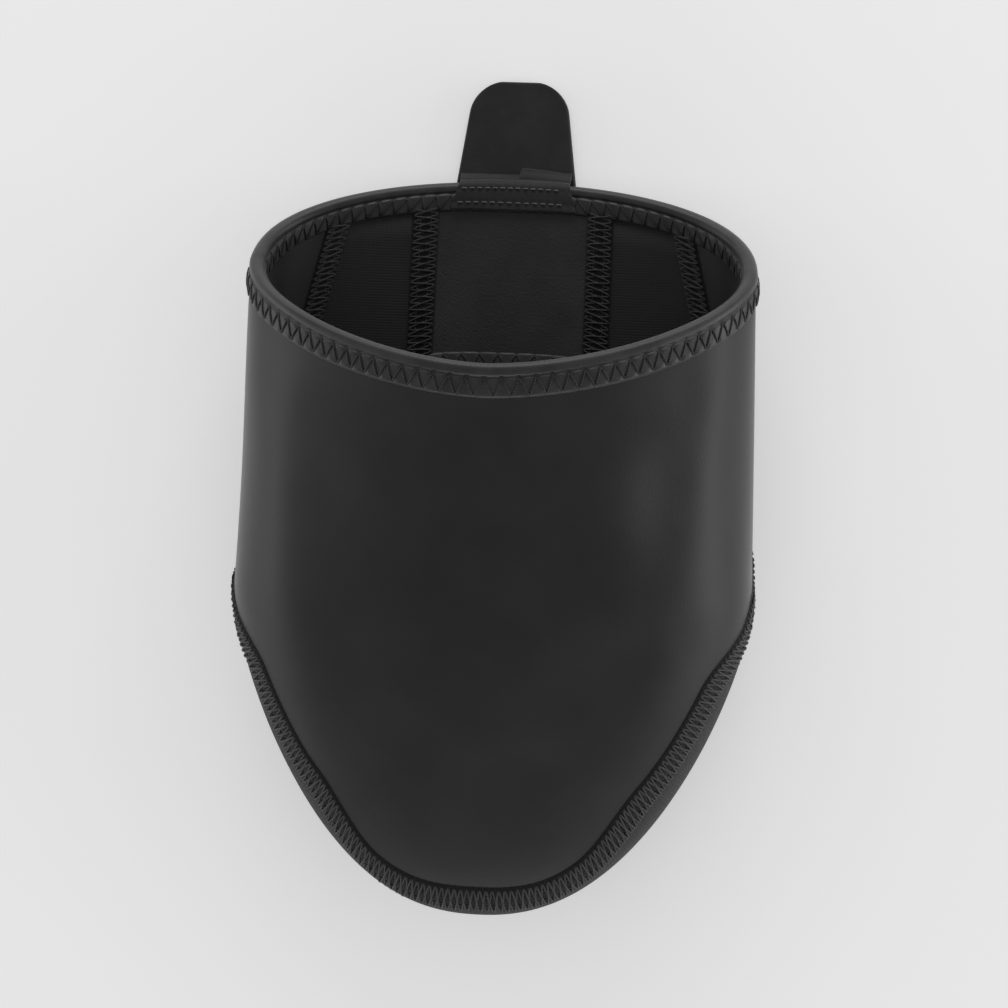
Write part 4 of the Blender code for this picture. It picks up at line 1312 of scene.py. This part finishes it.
# The tab's inner layer wraps over the collar's lip: a ramp up from the tab, a quarter circle
# round the lip and a flat leg on the inside, sewn down by two rows of stitches
def makePatch():
    x = np.linspace(-patch["halfWidth"], patch["halfWidth"], 97)
    angle = underAngle(2.0, np.abs(x) / halfCollar)
    side = np.where(x < 0, -1.0, 1.0)
    lip, normal = wallFrame(2.0 * np.ones_like(x), angle, side)
    far, _ = wallFrame(1.93 * np.ones_like(x), angle, side)
    inward = (far - lip) / np.linalg.norm(far - lip, axis=-1, keepdims=True)
    middle = -form["wall"] / 2
    radius = binding["legHeight"] - middle + 0.00015
    half = binding["lip"] * 0.62
    turn = np.linspace(math.pi, 1.5 * math.pi, 10)
    leg = np.linspace(half, patch["depth"], 30)[1:]
    distance = np.concatenate([half + (half + 0.0002) * np.cos(turn), leg])
    height = np.concatenate([middle + radius * np.sin(turn), np.full(leg.size, middle - radius)])
    outX = np.concatenate([np.cos(turn), np.zeros(leg.size)])
    outY = np.concatenate([np.sin(turn), -np.ones(leg.size)])
    path = lip[:, None] + inward[:, None] * distance[:, None] + normal[:, None] * height[:, None]
    out = inward[:, None] * outX[:, None] + normal[:, None] * outY[:, None]
    flap = smoothShare((x - 0.0006) / 0.0008) * (1 - 0.6 * np.clip(x / 0.0105, 0, 1) ** 2)
    start = np.stack([x, rimY + form["gap"] + 0.0016 + 0.0014 * flap,
                      strap["tabThickness"] + 0.0002 + 0.0005 * flap], axis=-1)
    share = np.linspace(0, 1, 9)[:-1][None, :, None]
    ease = share * share * (3 - 2 * share)
    ramp = start[:, None] * (1 - share) + path[:, :1] * share
    ramp[..., 2] = (start[:, None, 2] + (path[:, :1, 2] - start[:, None, 2]) * ease[..., 0])
    rampOut = (1 - share) * np.array([0.0, 0.25, 1.0]) + share * out[:, :1]
    path = np.concatenate([ramp, path], axis=1)
    out = np.concatenate([rampOut, out], axis=1)
    out /= np.linalg.norm(out, axis=-1, keepdims=True)
    inside = np.concatenate([np.full(8, -0.002), distance])
    sunk = sum(np.exp(-((inside - at) / 0.0007) ** 2) for at in patch["stitchRows"])
    pinch = 0.65 + 0.35 * np.cos(2 * math.pi * x[:, None] / patch["stitch"])
    path = path - out * (patch["pucker"] * sunk * pinch)[..., None]
    outer = path + out * patch["thickness"]
    length = arcLength(path, 1)
    uv = np.stack([x[:, None] * np.ones_like(length), length], axis=-1)
    piece = wallPiece("tabPatch", outer, path, uv, finishes["lining"])
    strip = makeStrip(outer, out, np.linspace(-1, 1, outer.shape[1]))
    middleRow = inside
    count = int(2 * patch["halfWidth"] / patch["stitch"]) - 1
    step = np.linspace(0.05, 0.78, 7)
    starts = (np.arange(count)[:, None] + 0.5 + step[None]) * patch["stitch"]
    rows, normals = [], []
    for at in patch["stitchRows"]:
        share = np.interp(at, middleRow[8:], np.linspace(-1, 1, middleRow.size)[8:])
        lift = np.sin(math.pi * (step - 0.05) / 0.73) ** 0.6 * 0.0003 - 0.00006
        spot, up = onStrip(strip, starts, np.full(starts.shape, share),
                           np.broadcast_to(lift, starts.shape))
        rows.append(spot)
        normals.append(up)
    threadPiece("tabPatchStitches", np.concatenate(rows), np.concatenate(normals), 0.00017,
                finishes["topstitch"])
    return piece


label = {
    "width": 0.024,
    "length": 0.012,
    "tuck": 0.004,
    "thickness": 0.00045,
    "curl": 0.0016,
}


# Label: a ribbon that leaves the binding level and lifts a little towards its free edge
def makeLabel():
    low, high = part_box("size_label")
    y = np.linspace(low[1], high[1], 30)[:, None]
    x = np.linspace(low[0], high[0], 33)[None]
    free = np.clip((cleatRearY - y) / form["cleatLength"] * 5, 0, 1)
    wave = label["curl"] * free ** 2 * (0.45 + 0.55 * (x / high[0]) ** 2)
    z = low[2] + 0.00002 + wave * 0.6
    ones = np.ones_like(x * y)
    bottom = np.stack([x * ones, y * ones, z * ones], axis=-1)
    top = bottom + np.array([0, 0, label["thickness"]])
    uv = np.stack([x * ones, y * ones], axis=-1)
    piece = wallPiece("bareLabel", top, bottom, uv, finishes["satin"])
    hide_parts("size_label")


makeStrap()
makeTopstitches()
makePatch()
makeLabel()
print("strap and label made")


# ---- floor, light and camera

studio = {
    "target": (0.0, -0.0156, 0.013),
    "distance": 0.55,
    "lean": 5.0,               # degrees towards +X
    "roll": -2.6,              # degrees
    "lens": 92.0,
    "aim": (0.0015, -0.0030, 0.013),
    "floorColour": (0.88, 0.88, 0.88),
    "sideLight": 0.50,
    "overheadLight": 0.30,
    "floorGlow": 0.34,         # the table is a lit white sheet
}


def makeFloor():
    mesh = bpy.data.meshes.new("studioFloor")
    size = 3.0
    low = -0.0003
    mesh.from_pydata([(-size, -size, low), (size, -size, low), (size, size, low), (-size, size, low)],
                     [], [(0, 1, 2, 3)])
    floor = bpy.data.objects.new("studioFloor", mesh)
    bpy.context.scene.collection.objects.link(floor)
    mesh.materials.append(Paint("paleFloor", studio["floorColour"], 0.9,
                                Emission_Color=(1.0, 1.0, 1.0, 1.0),
                                Emission_Strength=studio["floorGlow"]).material)


def addLight(name, place, size, watts):
    data = bpy.data.lights.new(name, "AREA")
    data.shape = "RECTANGLE"
    data.size, data.size_y = size
    data.energy = watts
    lamp = bpy.data.objects.new(name, data)
    bpy.context.scene.collection.objects.link(lamp)
    lamp.location = place
    lamp.visible_camera = False
    direction = Vector((0.0, -0.01, 0.02)) - Vector(place)
    lamp.rotation_euler = direction.to_track_quat("-Z", "Y").to_euler()


# A studio sky: bright round the sides and dim overhead, so that tops stay dark and sides glow
def makeWorld():
    world = bpy.data.worlds.new("studioWorld")
    world.use_nodes = True
    tree = world.node_tree
    place = tree.nodes.new("ShaderNodeTexCoord")
    split = tree.nodes.new("ShaderNodeSeparateXYZ")
    ramp = tree.nodes.new("ShaderNodeMapRange")
    tree.links.new(place.outputs["Generated"], split.inputs["Vector"])
    tree.links.new(split.outputs["Z"], ramp.inputs["Value"])
    ramp.interpolation_type = "SMOOTHSTEP"
    ramp.inputs["From Min"].default_value = 0.10
    ramp.inputs["From Max"].default_value = 0.70
    ramp.inputs["To Min"].default_value = studio["sideLight"]
    ramp.inputs["To Max"].default_value = studio["overheadLight"]
    tree.links.new(ramp.outputs["Result"], tree.nodes["Background"].inputs["Strength"])
    tree.nodes["Background"].inputs["Color"].default_value = (1.0, 1.0, 1.0, 1.0)
    bpy.context.scene.world = world


# Camera straight over the cover with a small lean, aimed at the middle of the one cover
def makeCamera():
    lean = math.radians(studio["lean"])
    back = Vector((math.sin(lean), 0.0, math.cos(lean)))
    place = Vector(studio["target"]) + back * studio["distance"]
    away = (place - Vector(studio["aim"])).normalized()
    up = (Vector((0, 1, 0)) - away * away.y).normalized()
    right = up.cross(away)
    roll = math.radians(studio["roll"])
    turnedRight = right * math.cos(roll) - up * math.sin(roll)
    turnedUp = right * math.sin(roll) + up * math.cos(roll)
    data = bpy.data.cameras.new("photoCamera")
    data.lens = studio["lens"]
    data.clip_start = 0.01
    camera = bpy.data.objects.new("photoCamera", data)
    bpy.context.scene.collection.objects.link(camera)
    camera.matrix_world = Matrix((
        (turnedRight.x, turnedUp.x, away.x, place.x),
        (turnedRight.y, turnedUp.y, away.y, place.y),
        (turnedRight.z, turnedUp.z, away.z, place.z),
        (0, 0, 0, 1)))
    bpy.context.scene.camera = camera


makeFloor()
addLight("leftBox", (-0.95, 0.0, 0.14), (0.9, 0.24), 1.8)
addLight("rightBox", (0.95, 0.0, 0.14), (0.9, 0.24), 3.0)
addLight("toeBox", (0.0, -1.00, 0.20), (0.9, 0.24), 2.4)
addLight("rearBox", (0.0, 1.00, 0.35), (0.9, 0.3), 3.4)
makeWorld()
bpy.context.scene.view_settings.view_transform = "Standard"
makeCamera()
print("studio made")
